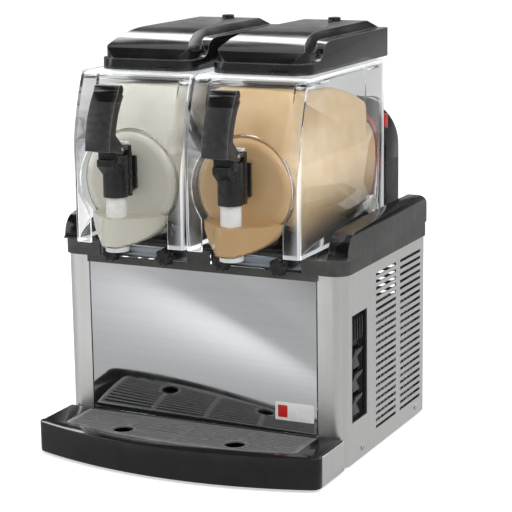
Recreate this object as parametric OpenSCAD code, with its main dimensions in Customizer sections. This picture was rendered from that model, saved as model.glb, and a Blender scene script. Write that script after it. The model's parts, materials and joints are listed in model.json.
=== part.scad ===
// Twin-bowl frozen drink dispenser, countertop size, in millimetres.
// Frame: +Z up, front facing -Y, origin on the rest surface under the middle of the machine.

/* [Cabinet] */
// Height of the steel cabinet, from its floor to the top housing
cab_h = 249; // [215:1:300]
// Thickness of the sheet steel
sheet_t = 1.5; // [1:0.1:2.5]
// Radius of the two rounded front uprights
upright_r = 18; // [8:1:26]
// Width of each front upright, seen from the front
upright_w = 36; // [30:1:50]
// Radius of a rubber foot
foot_r = 14; // [8:1:20]
// Height of a rubber foot under the cabinet floor
foot_h = 4; // [2:0.5:20]
// Distance of the feet from the cabinet walls
foot_inset = 48; // [34:1:60]
// Gap that keeps separate pieces apart
gap = 0.3; // [0.2:0.05:0.5]

/* [Top housing] */
// Height of the black band that runs round the cabinet top
band_h = 19; // [14:1:30]
// How far the band stands out over the cabinet sides
band_proud = 3; // [2:0.5:6]
// Wall of the moulded covers
cover_wall = 3; // [2:0.5:4]
// Width of each raised side wing
wing_w = 27; // [20:1:50]
// Height of the wings over the band
wing_h = 38; // [24:1:50]
// Height of the plinth that the bowls stand on
plinth_h = 6.7; // [4:0.1:12]
// Depth of the lip that hangs below the band in front
lip_drop = 8; // [4:1:12]

/* [Bowls] */
// Outer radius of the freezing drum of a bowl
drum_r = 68; // [56:1:84]
// Wall of the clear bowl
bowl_wall = 3; // [2:0.5:4]
// Air gap between a drum and its clear jacket
air_gap = 8; // [5:0.5:14]
// Wall of the clear jacket
jacket_wall = 3; // [2:0.5:4]
// Length of the jacket, front to back
jacket_len = 276; // [236:1:340]
// How far the jackets overhang the cabinet front
jacket_reach = 40; // [30:1:50]
// Height of the hopper above the drum
hopper_rise = 68; // [50:1:90]
// How much narrower the hopper is than the drum, each side
hopper_inset = 8; // [5:0.5:14]
// Gap between the two jackets
bowl_gap = 2; // [1:0.5:10]
// Radius of the backward lean of the jacket front
lean_r = 340; // [280:5:500]

/* [Taps] */
// Distance from the jacket front to the tap's own axis
tap_reach = 28; // [24:1:36]
// Radius of the white tap piston
piston_r = 13; // [10:0.5:16]
// Travel of the piston when the tap is pulled open
piston_lift = 10; // [6:1:14]
// Width of the tap paddle
paddle_w = 35; // [28:1:40]
// Height of the tap paddle over its hinge pin
paddle_h = 81; // [70:1:110]
// Radius of the paddle's backward curve
paddle_r = 115; // [90:5:300]
// Radius of the hinge pin
pin_r = 2.5; // [2:0.25:3]

/* [Freezing and drive] */
// Radius of the cold steel cylinder inside each drum
evap_r = 50; // [40:1:54]
// Radius of the drive shaft
shaft_r = 6; // [4:0.5:8]
// Running clearance of the shaft in its bores
shaft_fit = 0.1; // [0.05:0.01:0.1]
// Number of turns of the auger spiral
auger_turns = 3; // [2:1:4]
// Depth of the tower that holds the gear motors
tower_d = 46; // [42:1:70]

/* [Lids] */
// How far each lid is inset from the sides of its jacket
lid_inset = 11; // [6:1:14]
// Height of the front skirt of a lid
lid_skirt_h = 14; // [10:1:20]
// Overall height of a lid
lid_h = 48; // [40:1:60]
// Wall of the lid
lid_wall = 2.5; // [2:0.5:4]
// Radius of the round button on a lid
lid_knob_r = 8.5; // [6:0.5:12]

/* [Drip tray] */
// Reach of the tray in front of the cabinet
tray_reach = 118; // [95:1:140]
// Height of the tray over the cabinet floor
tray_h = 40; // [32:1:50]
// Radius of the bowed tray front
tray_bow_r = 580; // [450:10:900]
// Width of the frame round the drip grille
tray_rim = 23; // [18:1:30]
// Wall of the tray
tray_wall = 3; // [2:0.5:4]
// Number of slots across the grille
grille_rows = 12; // [8:1:14]
// Radius of the drain hole under each tap
drain_r = 13.5; // [10:0.5:16]

/* [Controls] */
// Width and height of one rocker switch
rocker_size = 27; // [22:1:30]
// Spacing of the rocker switches
rocker_pitch = 30.5; // [28:0.5:36]
// Angle that a rocker turns through between off and on
rocker_swing = 14; // [10:1:20]
// Radius of a star knob
star_r = 12; // [9:0.5:13]
// Length of a star knob's grip
star_len = 12; // [8:1:16]
// Distance of the star knobs from the middle of a bowl
star_x = 39; // [34:1:46]
// Radius of the side knob
side_knob_r = 13.5; // [10:0.5:15]
// Length of the side knob
side_knob_len = 16; // [12:0.5:17]

/* [Hidden] */
$fn = 96;
eps = 0.01;

// Widths, from the drum outwards
jacket_w = 2 * (drum_r + air_gap + jacket_wall);
bowl_pitch = jacket_w + bowl_gap;
bowl_x = bowl_pitch / 2;
hopper_w = 2 * (drum_r - hopper_inset);
wing_gap = 17;
wing_x = bowl_x + jacket_w / 2 + wing_gap;
band_w = 2 * (wing_x + wing_w);
cab_w = band_w - 2 * band_proud;

// Depths, from the jackets and the tower
tower_gap = 2;
cab_d = jacket_len - jacket_reach + tower_gap + tower_d - band_proud;
front_y = (tray_reach - cab_d - band_proud) / 2;
rear_y = front_y + cab_d;
jacket_front_y = front_y - jacket_reach;
jacket_rear_y = jacket_front_y + jacket_len;
tower_front_y = jacket_rear_y + tower_gap;
tower_rear_y = tower_front_y + tower_d;
tap_y = jacket_front_y - tap_reach;

// Heights, from the floor up
floor_z = foot_h;
cab_top_z = floor_z + cab_h;
deck_z = cab_top_z + band_h;
wing_z = deck_z + wing_h;
jacket_z = deck_z + plinth_h + gap;
drum_clear = 14;
axis_z = jacket_z + drum_clear + drum_r;
jacket_top_z = axis_z + drum_r + hopper_rise;
lid_z = jacket_top_z + gap;
tray_z = floor_z + tray_h;

// Jacket and bowl outlines
jacket_corner_r = 8;
lean_z = jacket_z + 75;
drum_front_y = jacket_front_y + 3;
drum_rear_y = jacket_rear_y - 6;
drum_round_r = 15;
hopper_front_y = jacket_front_y + 9;
hopper_rear_y = jacket_rear_y - 31;
hopper_corner_r = 25;
hopper_rear_r = 8;
rim_t = 2.5;
rim_z = jacket_top_z - 10;

// Spout and tap heights
spout_deck_z = axis_z - 39;
spout_floor_z = jacket_z + 6.5;
spout_nose_r = 21;
spout_half_w = 54;
outlet_h = 7;
outlet_wall = 3;
tap_body_r = piston_r + 3;
tap_body_z = spout_deck_z + 26;
tap_body_h = 52;
tap_bore_h = 40;
pivot_z = tap_body_z + tap_body_h + 10;
pivot_y = tap_y - 12;
stem_r = 5;
lug_half_w = paddle_w / 2 - 3.5;
cheek_t = 3;
cheek_r = 6;
crossbar_h = 3;

// Drive train
flange_r = drum_r - 4;
flange_t = 7;
evap_front_y = drum_front_y + 29;
auger_r = drum_r - bowl_wall - 3;
auger_band = 8;
bush_r = 11;
bush_len = 10;
shaft_front_y = drum_front_y + bowl_wall + 4;
gearbox_w = 84;
gearbox_front_y = tower_front_y + cover_wall + 4;
gearbox_d = tower_d - 20;
motor_r = 26;
motor_h = 70;

// Tower outline
tower_overhang = 2.7;
tower_x = bowl_x + jacket_w / 2 + tower_overhang;
tower_top_z = deck_z + 170;
tower_round_x = 50;
tower_round_z = 64;
tower_round_y = tower_d - 8;

// Lid outline
lid_half_w = jacket_w / 2 - lid_inset;
lid_front_y = jacket_front_y + 49;
lid_rear_y = rear_y;
lid_corner_r = 25;
lid_shoulder_z = lid_z + lid_h - 10;
lid_ledge = 5;
lid_seat = 4;
lid_slope_y = 84;
lid_top_half_w = lid_half_w - 22;

// Tray and grille
tray_side_r = 13;
cheek_len = 70;
grille_t = 3;
grille_half_w = cab_w / 2 - 35;
grille_front_y = front_y - tray_reach + tray_rim;
grille_rear_y = front_y - 8;
slot_w = 3.4;
rib_w = 7;

// Side window and switches
window_y = front_y + 25;
window_w = 50;
window_z = floor_z + 54;
window_h = 140;
plate_depth = 6;
rocker_y = window_y + window_w / 2;
rocker_z = window_z + 20;

// Louvres and screws
louvre_pitch = 9.3;
louvre_h = 4;
louvre_count = 23;
louvre_z = floor_z + 24;
screw_r = 4;

// ---------- helpers ----------

// Places a bowl's piece at the right bowl, or mirrored at the left one (side = -1).
module at_bowl(side) {
    if (side > 0) translate([bowl_x, 0, 0]) children();
    else mirror([1, 0, 0]) translate([bowl_x, 0, 0]) children();
}

// Extrudes a YZ outline (first coordinate Y, second Z) along X, from x0 to x1.
module along_x(x0, x1) {
    translate([x0, 0, 0]) rotate([90, 0, 90]) linear_extrude(x1 - x0) children();
}

// Extrudes an XZ outline (first coordinate X, second Z) along +Y, from y0 to y1.
module along_y(y0, y1) {
    translate([0, y1, 0]) rotate([90, 0, 0]) linear_extrude(y1 - y0) children();
}

// Turns a profile (radius, distance along the axis) round an axis that points along +Y.
module revolve_y() {
    rotate([-90, 0, 0]) rotate_extrude() children();
}

// A cylinder along +Y.
module rod_y(r, y0, y1) {
    translate([0, y0, 0]) rotate([-90, 0, 0]) cylinder(r = r, h = y1 - y0);
}

// A cylinder along +X.
module rod_x(r, x0, x1) {
    translate([x0, 0, 0]) rotate([0, 90, 0]) cylinder(r = r, h = x1 - x0);
}

// A box from its low corner to its high corner.
module block(low, high) {
    translate(low) cube(high - low);
}

// Points of an arc from angle a0 to angle a1, as an ellipse with radii rx and ry.
function arc(cx, cy, rx, ry, a0, a1, steps) =
    [for (i = [0 : steps]) let (a = a0 + (a1 - a0) * i / steps) [cx + rx * cos(a), cy + ry * sin(a)]];

// A rectangle with one corner radius in front (low Y) and another at the back.
module rounded_plan(half_w, y0, y1, front_r, back_r) {
    polygon(concat(
        arc(-half_w + front_r, y0 + front_r, front_r, front_r, 180, 270, 10),
        arc(half_w - front_r, y0 + front_r, front_r, front_r, 270, 360, 10),
        arc(half_w - back_r, y1 - back_r, back_r, back_r, 0, 90, 8),
        arc(-half_w + back_r, y1 - back_r, back_r, back_r, 90, 180, 8)));
}

// ---------- cabinet ----------

// Plan of the pan, with corners that follow the rounded uprights.
module pan_plan(inset) {
    rounded_plan(pan_x - inset, front_y + pan_front + inset, rear_y - pan_rear - inset,
        upright_r - pan_front - inset, 3);
}

// Folded floor pan: a tall flange in front, lower ones at the sides and the back.
module base_pan() {
    color("silver")
    difference() {
        translate([0, 0, floor_z]) linear_extrude(pan_front_h) pan_plan(0);
        translate([0, 0, floor_z + sheet_t]) linear_extrude(pan_front_h) pan_plan(sheet_t);
        block([-pan_x - 1, front_y + upright_r, floor_z + pan_side_h],
            [pan_x + 1, rear_y, floor_z + pan_front_h + 1]);
        for (x = [-1, 1], y = [front_y + foot_inset, rear_y - foot_inset])
            translate([x * (cab_w / 2 - foot_inset), y, floor_z - 1]) cylinder(r = foot_stud_r, h = 6);
    }
}
pan_x = cab_w / 2 - sheet_t - gap;
pan_front = sheet_t + 0.5;
pan_rear = sheet_t + gap;
pan_front_h = 38;
pan_side_h = 20;
foot_stud_r = 3;

module feet() {
    color("#222222")
    for (x = [-1, 1], y = [front_y + foot_inset, rear_y - foot_inset])
        translate([x * (cab_w / 2 - foot_inset), y, 0]) {
            rotate_extrude() polygon([[0, 0], [foot_r - 1, 0], [foot_r, 1], [foot_r, foot_h], [0, foot_h]]);
            cylinder(r = foot_stud_r - shaft_fit, h = foot_h + sheet_t + 2);
        }
}

// Plan of the right side panel: a flat side that wraps round the front as an upright.
module side_plan(inset) {
    over = inset > 0 ? 5 : 0;
    x0 = cab_w / 2 - upright_w - over;
    x1 = cab_w / 2 - inset;
    y0 = front_y + inset;
    r = upright_r - inset;
    polygon(concat([[x0, y0]], arc(x1 - r, y0 + r, r, r, 270, 360, 12),
        [[x1, rear_y + over], [x0, rear_y + over]]));
}

module side_panel_shape() {
    difference() {
        translate([0, 0, floor_z]) linear_extrude(cab_h) side_plan(0);
        translate([0, 0, floor_z - 1]) linear_extrude(cab_h + 2) side_plan(sheet_t);
        for (row = [0 : louvre_count - 1], col = [0, 1])
            translate([cab_w / 2 - sheet_t - 1, louvre_y[col], louvre_z + row * louvre_pitch])
                cube([sheet_t + 2, louvre_len[col], louvre_h]);
    }
}
louvre_y = [front_y + 106, rear_y - 89];
louvre_len = [71, 76];

module left_side_panel() {
    color("lightgray") mirror([1, 0, 0]) side_panel_shape();
}

module right_side_panel() {
    color("lightgray")
    difference() {
        side_panel_shape();
        block([cab_w / 2 - 5, window_y, window_z], [cab_w / 2 + 5, window_y + window_w, window_z + window_h]);
    }
}

// Mirror-bright panel behind the taps, with a return flange down each side.
module splash_panel() {
    half_w = cab_w / 2 - upright_w - splash_gap;
    color("whitesmoke")
    difference() {
        block([-half_w, front_y, tray_z], [half_w, front_y + splash_flange, cab_top_z - 1]);
        block([-half_w + sheet_t, front_y + sheet_t, tray_z - 1],
            [half_w - sheet_t, front_y + splash_flange + 1, cab_top_z]);
    }
}
splash_gap = 1.5;
splash_flange = 12;

module rear_panel() {
    half_w = cab_w / 2 - sheet_t - gap;
    color("lightgray")
    difference() {
        block([-half_w, rear_y - sheet_t, floor_z], [half_w, rear_y, cab_top_z - gap]);
        for (row = [0 : rear_slots - 1], x = [-1, 1])
            translate([x * cab_w / 4 - rear_slot_len / 2, rear_y - 5, floor_z + 70 + row * louvre_pitch])
                cube([rear_slot_len, 10, louvre_h]);
        block([inlet_x - inlet_w / 2, rear_y - 5, inlet_z - inlet_h / 2],
            [inlet_x + inlet_w / 2, rear_y + 5, inlet_z + inlet_h / 2]);
    }
}
rear_slots = 15;
rear_slot_len = 120;
inlet_x = -cab_w / 2 + 55;
inlet_z = floor_z + 38;
inlet_w = 27.6;
inlet_h = 20;

// Round-headed screws along the foot of both side panels.
module panel_screws() {
    color("gray")
    for (side = [-1, 1], y = [front_y + 59, rear_y - 30])
        translate([0, y, floor_z + 12.5]) mirror([side < 0 ? 1 : 0, 0, 0])
            rod_x(screw_r, cab_w / 2, cab_w / 2 + 1.6);
}

// ---------- top housing ----------

// Plan of the band, inset from its outer face.
module band_plan(inset) {
    rounded_plan(band_w / 2 - inset, front_y - band_proud - 1 + inset, rear_y + band_proud - inset,
        upright_r + band_proud - inset, 6);
}

// Side outline of a wing: a big curve up at the front, a nearly level top, a rounded rear corner.
module wing_outline(inset) {
    y0 = front_y + 6 + inset;
    y1 = rear_y + band_proud - inset;
    top = wing_z - inset;
    polygon(concat([[y0 - 4, deck_z - eps]],
        arc(y0 + wing_round, top - 6 - wing_round, wing_round, wing_round, 180, 90, 10),
        arc(y1 - wing_back_r, top - wing_back_r, wing_back_r, wing_back_r, 90, 0, 6),
        [[y1, deck_z - eps]]));
}
wing_round = 28;
wing_back_r = 12;
wing_roll = 12;
wing_inner_r = 5;

// Front outline of a wing, with a rolled outer edge. It runs below the side outline, which trims it.
module wing_front(inset) {
    x0 = wing_x + inset;
    x1 = band_w / 2 - inset;
    top = wing_z - inset;
    roll = wing_roll - inset;
    inner = wing_inner_r - inset;
    polygon(concat([[x0, deck_z - cover_wall]], arc(x0 + inner, top - inner, inner, inner, 180, 90, 4),
        arc(x1 - roll, top - roll, roll, roll, 90, 0, 8), [[x1, deck_z - cover_wall]]));
}

module wing_body(inset) {
    intersection() {
        along_x(wing_x - 1, band_w / 2 + 1) wing_outline(inset);
        along_y(front_y - band_proud, rear_y + 2 * band_proud) wing_front(inset);
    }
}

module top_housing() {
    color("#2b2b2b")
    difference() {
        union() {
            // the band with its deck, hollow below
            difference() {
                translate([0, 0, cab_top_z + gap]) linear_extrude(band_h - gap) band_plan(0);
                translate([0, 0, cab_top_z - 1]) linear_extrude(band_h + 1 - cover_wall) band_plan(cover_wall);
            }
            // the lip that hangs in front of the splash panel
            block([-lip_half_w, front_y - band_proud - 1, cab_top_z - lip_drop],
                [lip_half_w, front_y - gap, cab_top_z + gap + 1]);
            // the plinth under the jackets
            block([-bowl_x - plinth_half_w, front_y + recess_d + 3, deck_z - 1],
                [bowl_x + plinth_half_w, jacket_rear_y - 20, deck_z + plinth_h]);
            // the wings
            for (side = [0, 1]) mirror([side, 0, 0]) difference() {
                wing_body(0);
                wing_body(cover_wall);
            }
        }
        // the two recesses that hold the clamp plates
        for (side = [-1, 1])
            block([side * bowl_x - recess_half_w, front_y - 20, cab_top_z + gap + 1],
                [side * bowl_x + recess_half_w, front_y + recess_d, deck_z + 1]);
        // the wells for the gear motors
        for (side = [-1, 1])
            block([side * bowl_x - gearbox_w / 2 - 2, gearbox_front_y - 2, deck_z - cover_wall - 1],
                [side * bowl_x + gearbox_w / 2 + 2, rear_y - 4, deck_z + 1]);
    }
}
lip_half_w = cab_w / 2 - upright_w;
recess_half_w = 64;
recess_d = 6;
plinth_half_w = jacket_w / 2 - 1;

// Outline of the tower from the side: upright, then round over to the front at the top.
module tower_side(inset) {
    y0 = tower_front_y + inset;
    y1 = tower_rear_y - inset;
    top = tower_top_z - inset;
    ry = tower_round_y - inset;
    rz = 70 - inset;
    polygon(concat([[y0, deck_z - eps], [y1, deck_z - eps]], arc(y1 - ry, top - rz, ry, rz, 0, 90, 12),
        [[y0, top]]));
}

// Outline of the tower from the front, with rounded shoulders.
module tower_face(inset) {
    x = tower_x - inset;
    top = tower_top_z - inset;
    rx = tower_round_x - inset;
    rz = tower_round_z - inset;
    polygon(concat([[-x, deck_z - eps], [x, deck_z - eps]], arc(x - rx, top - rz, rx, rz, 0, 90, 12),
        arc(-x + rx, top - rz, rx, rz, 90, 180, 12)));
}

module tower_shape(inset) {
    intersection() {
        along_x(-tower_x - 1, tower_x + 1) tower_side(inset);
        along_y(tower_front_y - 1, tower_rear_y + 1) tower_face(inset);
    }
}

module motor_tower() {
    color("#1c1c1c")
    difference() {
        translate([0, 0, gap]) tower_shape(0);
        translate([0, 0, -1]) tower_shape(cover_wall);
        for (side = [-1, 1]) translate([side * bowl_x, 0, axis_z])
            rod_y(shaft_r + 4, tower_front_y - 5, tower_front_y + cover_wall + 5);
        for (side = [0, 1]) mirror([side, 0, 0])
            block([catch_x - catch_slot, catch_y - catch_slot, catch_z],
                [catch_x + catch_t + catch_slot, catch_y + catch_w + catch_slot, tower_top_z + 20]);
    }
}

// Steel plate behind the star knobs of each bowl.
module clamp_plates() {
    color("lightsteelblue")
    for (side = [-1, 1]) translate([side * bowl_x, 0, 0]) difference() {
        block([-recess_half_w + 0.5, front_y + recess_d - 2 - sheet_t, cab_top_z + gap + 1.5],
            [recess_half_w - 0.5, front_y + recess_d - 2, deck_z - 1]);
        for (x = [-star_x, star_x]) translate([x, 0, star_z])
            rod_y(stud_r + shaft_fit, front_y - 10, front_y + 10);
    }
}
star_z = cab_top_z + 10;
stud_r = 3;

// Star knob with seven lobes on a threaded stud.
module star_knob_shape(x) {
    front = front_y - 22;
    color("#1a1a1a") translate([bowl_x + x, 0, star_z]) {
        difference() {
            rod_y(star_r, front, front + star_len);
            for (i = [0 : lobes - 1]) rotate([0, i * 360 / lobes, 0]) translate([star_r + 1.4, 0, 0])
                rod_y(3.2, front - 1, front + star_len + 1);
        }
        rod_y(5, front - 1.5, front + star_len + 4);
        rod_y(stud_r, front + star_len, front_y + recess_d - 1);
    }
}
lobes = 7;

module right_star_knob_outer() { star_knob_shape(star_x); }
module right_star_knob_inner() { star_knob_shape(-star_x); }
module left_star_knob_outer() { mirror([1, 0, 0]) star_knob_shape(star_x); }
module left_star_knob_inner() { mirror([1, 0, 0]) star_knob_shape(-star_x); }

// Red catch that stands out of the shoulder of the tower.
module catch_shape() {
    color("red") {
        block([catch_x, catch_y, catch_z + catch_base],
            [catch_x + catch_t, catch_y + catch_w, catch_z + catch_h]);
    }
}
catch_t = 5.5;
catch_w = 11;
catch_h = 34;
catch_base = 6;
catch_slot = 0.5;
catch_x = tower_x - 10;
catch_y = tower_front_y + 8;
catch_z = tower_top_z - 54;
module left_catch() { mirror([1, 0, 0]) catch_shape(); }
module right_catch() { catch_shape(); }

// ---------- drip tray ----------

// Points of a plan with a bowed front: one large arc, a tangent arc round each front corner, a flat back.
function bowed_points(half_w, apex_y, corner_r, back_y) =
    let (cx = half_w - corner_r, cy = apex_y + tray_bow_r,
        dy = sqrt(pow(tray_bow_r - corner_r, 2) - cx * cx), a = asin(cx / (tray_bow_r - corner_r)))
    concat(arc(-cx, cy - dy, corner_r, corner_r, 180, 270 - a, 8),
        arc(0, cy, tray_bow_r, tray_bow_r, 270 - a, 270 + a, 24),
        arc(cx, cy - dy, corner_r, corner_r, 270 + a, 360, 8),
        [[half_w, back_y], [-half_w, back_y]]);

// Plan of the tray, narrower at the back where the brackets hold it.
module tray_plan() {
    difference() {
        polygon(bowed_points(cab_w / 2, front_y - tray_reach, tray_side_r, front_y - 1));
        for (side = [-1, 1])
            translate([side * cab_w / 2 - 2, front_y - cheek_len]) square([4, cheek_len + 5]);
    }
}

// Plan of the grille, or of the opening that it lies in.
module grille_plan(grow) {
    polygon(bowed_points(grille_half_w + grow, grille_front_y - grow, 8 + grow, grille_rear_y + grow));
}

module drip_tray() {
    color("#262626")
    difference() {
        translate([0, 0, floor_z]) linear_extrude(tray_h) tray_plan();
        translate([0, 0, floor_z + tray_wall]) linear_extrude(tray_h) grille_plan(-4);
        translate([0, 0, tray_z - grille_t - gap]) linear_extrude(tray_h) grille_plan(gap);
    }
}

module drip_grille() {
    depth = grille_rear_y - grille_front_y - 14;
    pitch = depth / grille_rows;
    color("gray")
    difference() {
        translate([0, 0, tray_z - grille_t]) linear_extrude(grille_t) grille_plan(0);
        for (row = [0 : grille_rows - 1]) {
            y = grille_front_y + 12 + row * pitch;
            for (side = [-1, 1]) {
                grille_slot(side, rib_w / 2, bowl_x - rib_w / 2, y);
                grille_slot(side, bowl_x + rib_w / 2, grille_half_w - rib_w, y);
            }
        }
        for (side = [-1, 1]) translate([side * bowl_x, tap_y, tray_z - 10]) cylinder(r = drain_r, h = 20);
    }
}

// One slot of the grille, cut clear of the ring round the drain hole.
module grille_slot(side, x0, x1, y) {
    ring = drain_r + 4;
    dy = abs(y + slot_w / 2 - tap_y);
    half = dy < ring ? sqrt(ring * ring - dy * dy) : 0;
    far = x0 > bowl_x;
    a = far ? max(x0, bowl_x + half) : x0;
    b = far ? x1 : min(x1, bowl_x - half);
    translate([side > 0 ? a : -b, y, tray_z - 10]) cube([b - a, slot_w, 20]);
}

module tray_brackets() {
    color("lightgray")
    for (side = [0, 1]) mirror([side, 0, 0])
        block([cab_w / 2 - sheet_t, front_y - cheek_len + 0.5, floor_z],
            [cab_w / 2, front_y - gap, tray_z - 1]);
}

// ---------- switches ----------

module switch_plate() {
    x1 = cab_w / 2 - sheet_t - gap;
    color("#1e1e1e")
    difference() {
        union() {
            block([x1 - 2, window_y - 5, window_z - 5], [x1, window_y + window_w + 5, window_z + window_h + 5]);
            block([x1 - plate_depth - 2, window_y - 2, window_z - 2],
                [x1, window_y + window_w + 2, window_z + window_h + 2]);
            for (i = [0 : plate_ribs - 1]) block(
                [x1 - plate_depth, window_y + 8 + i * 8, window_z + 104],
                [x1 - 1, window_y + 10 + i * 8, window_z + window_h - 8]);
            // ears behind the plate that hold the rockers' trunnions
            for (i = [0 : 2], y = [rocker_y - rocker_hole / 2 - ear_t, rocker_y + rocker_hole / 2]) block(
                [rocker_x - ear_r, y, rocker_z + i * rocker_pitch - ear_r],
                [x1 - plate_depth - 1, y + ear_t, rocker_z + i * rocker_pitch + ear_r]);
        }
        difference() {
            block([x1 - plate_depth, window_y, window_z], [x1 + 5, window_y + window_w, window_z + window_h]);
            for (i = [0 : plate_ribs - 1]) block(
                [x1 - plate_depth - 1, window_y + 8 + i * 8, window_z + 104],
                [x1 - 1, window_y + 10 + i * 8, window_z + window_h - 8]);
        }
        for (i = [0 : 2]) block(
            [x1 - plate_depth - 5, rocker_y - rocker_hole / 2, rocker_z + i * rocker_pitch - rocker_hole / 2],
            [x1, rocker_y + rocker_hole / 2, rocker_z + i * rocker_pitch + rocker_hole / 2]);
        for (i = [0 : 2]) translate([rocker_x, rocker_y, rocker_z + i * rocker_pitch])
            rod_y(trunnion_r + shaft_fit, -rocker_hole / 2 - ear_t - 1, rocker_hole / 2 + ear_t + 1);
    }
}
plate_ribs = 5;
ear_t = 3;
ear_r = 4;
trunnion_r = 1.5;
rocker_x = cab_w / 2 - sheet_t - gap - plate_depth - 3;
rocker_hole = rocker_size + 1.4;

// Rocker cap with its two sloping faces, tilted to its off position about its own pivot.
module rocker_shape(i) {
    s = rocker_size / 2;
    color("#111111")
    translate([rocker_x, rocker_y, rocker_z + i * rocker_pitch]) rotate([0, rocker_swing / 2, 0]) {
        along_y(-s + 1, s - 1) polygon([[-2, -s + 2], [-2, s - 2], [8.5, s - 1], [6, 0], [8.5, -s + 1]]);
        rod_y(trunnion_r, -rocker_hole / 2 - ear_t + 0.5, rocker_hole / 2 + ear_t - 0.5);
    }
}
module power_rocker() { rocker_shape(2); }
module left_mix_rocker() { rocker_shape(1); }
module right_mix_rocker() { rocker_shape(0); }

// ---------- cooling plant ----------

module compressor() {
    x = -cab_w / 2 + 95;
    y = rear_y - 110;
    color("#2f2f2f") translate([x, y, floor_z + sheet_t]) {
        for (a = [45 : 90 : 315]) rotate([0, 0, a]) translate([comp_r - 4, 0, 0]) cylinder(r = 8, h = 12);
        translate([0, 0, 10]) cylinder(r = comp_r, h = 4);
        translate([0, 0, 14]) cylinder(r = comp_r - 6, h = comp_h - 44);
        translate([0, 0, comp_h - 30]) rotate_extrude()
            polygon(concat([[0, 0]], arc(0, 0, comp_r - 6, 30, 0, 90, 8)));
        translate([comp_r - 14, -14, 60]) cube([18, 28, 34]);
    }
}
comp_r = 60;
comp_h = 150;

// Finned coil against the right-hand louvres.
module condenser() {
    x0 = cab_w / 2 - 26;
    color("darkgray") {
        for (i = [0 : cond_fins - 1]) block([x0, cond_y0 + i * cond_step, floor_z + 16],
            [x0 + cond_t, cond_y0 + i * cond_step + 3, floor_z + 16 + cond_h]);
        for (i = [0 : 4], j = [0, 1]) translate([x0 + 6 + j * 8, cond_y0, floor_z + 32 + i * 32])
            rod_y(3, 0, (cond_fins - 1) * cond_step + 3);
        block([x0, cond_y0, floor_z + 16 - 3], [x0 + cond_t, cond_y0 + (cond_fins - 1) * cond_step + 3,
            floor_z + 16 + 0.5]);
    }
}
cond_t = 20;
cond_h = 160;
cond_y0 = front_y + 112;
cond_fins = 13;
cond_step = 12;
fan_y = cond_y0 + (cond_fins - 1) * cond_step / 2 + 1.5;
fan_z = floor_z + 16 + cond_h / 2;
fan_r = 62;
fan_x = cab_w / 2 - 30;

module fan_shroud() {
    color("dimgray")
    difference() {
        block([fan_x - 22, fan_y - fan_r - 8, fan_z - fan_r - 8], [fan_x, fan_y + fan_r + 8, fan_z + fan_r + 8]);
        block([fan_x - 19, fan_y - fan_r - 5, fan_z - fan_r - 5], [fan_x + 5, fan_y + fan_r + 5, fan_z + fan_r + 5]);
        translate([0, fan_y, fan_z]) rod_x(fan_r, fan_x - 30, fan_x);
    }
}

module fan_motor() {
    color("gray") translate([0, fan_y, fan_z]) {
        rod_x(24, fan_x - 62, fan_x - 26);
        rod_x(3, fan_x - 27, fan_x - 8);
        for (a = [0 : 120 : 240]) rotate([a, 0, 0]) translate([fan_x - 40, -3, 20]) cube([4, 6, 50]);
        for (a = [0 : 120 : 240]) rotate([a, 0, 0]) translate([fan_x - 40, -3, 66])
            cube([18 - gap, 6, 4]);
    }
}

module fan_blade() {
    color("black") translate([0, fan_y, fan_z]) difference() {
        union() {
            rod_x(14, fan_x - 20, fan_x - 6);
            for (a = [0 : 72 : 288]) rotate([a, 0, 0]) translate([fan_x - 13, 0, 10]) rotate([0, 0, 24])
                translate([-1, -11, 0]) cube([2, 22, fan_r - 14]);
        }
        rod_x(3 + shaft_fit, fan_x - 40, fan_x + 5);
    }
}

module control_box() {
    color("dimgray") {
        block([control_x, front_y + 24, floor_z + 30], [control_x + 90, front_y + 78, floor_z + 160]);
        for (i = [0 : 2]) block([control_x - 8, front_y + 34, floor_z + 44 + i * 36],
            [control_x + eps, front_y + 64, floor_z + 60 + i * 36]);
    }
}
control_x = 10;

module mains_inlet() {
    color("black")
    difference() {
        union() {
            block([inlet_x - inlet_w / 2 + gap, rear_y - 22, inlet_z - inlet_h / 2 + gap],
                [inlet_x + inlet_w / 2 - gap, rear_y, inlet_z + inlet_h / 2 - gap]);
            block([inlet_x - 25, rear_y, inlet_z - 13], [inlet_x + 25, rear_y + 2.4, inlet_z + 13]);
        }
        block([inlet_x - 11.5, rear_y - 18, inlet_z - 7.5], [inlet_x + 11.5, rear_y + 5, inlet_z + 7.5]);
    }
}

// ---------- one bowl ----------

// Side outline of the jacket or the hopper: upright front that leans back in one large arc.
// It runs past both ends, and the piece that uses it sets its own height.
module leaning_side(y0, y1, inset) {
    r = lean_r - inset;
    z1 = jacket_top_z + 10;
    a1 = asin((z1 - lean_z) / r);
    polygon(concat([[y1, z1], [y1, jacket_z - 10], [y0, jacket_z - 10]],
        arc(y0 + r, lean_z, r, r, 180, 180 - a1, 12)));
}

module jacket_body(inset, z0, z1) {
    intersection() {
        translate([0, 0, z0]) linear_extrude(z1 - z0)
            rounded_plan(jacket_w / 2 - inset, jacket_front_y + inset - 1, jacket_rear_y + 60,
                jacket_corner_r - inset, 2);
        along_x(-jacket_w, jacket_w)
            leaning_side(jacket_front_y + inset, jacket_rear_y + (inset > 0 ? 50 : 0), inset);
    }
}

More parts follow.
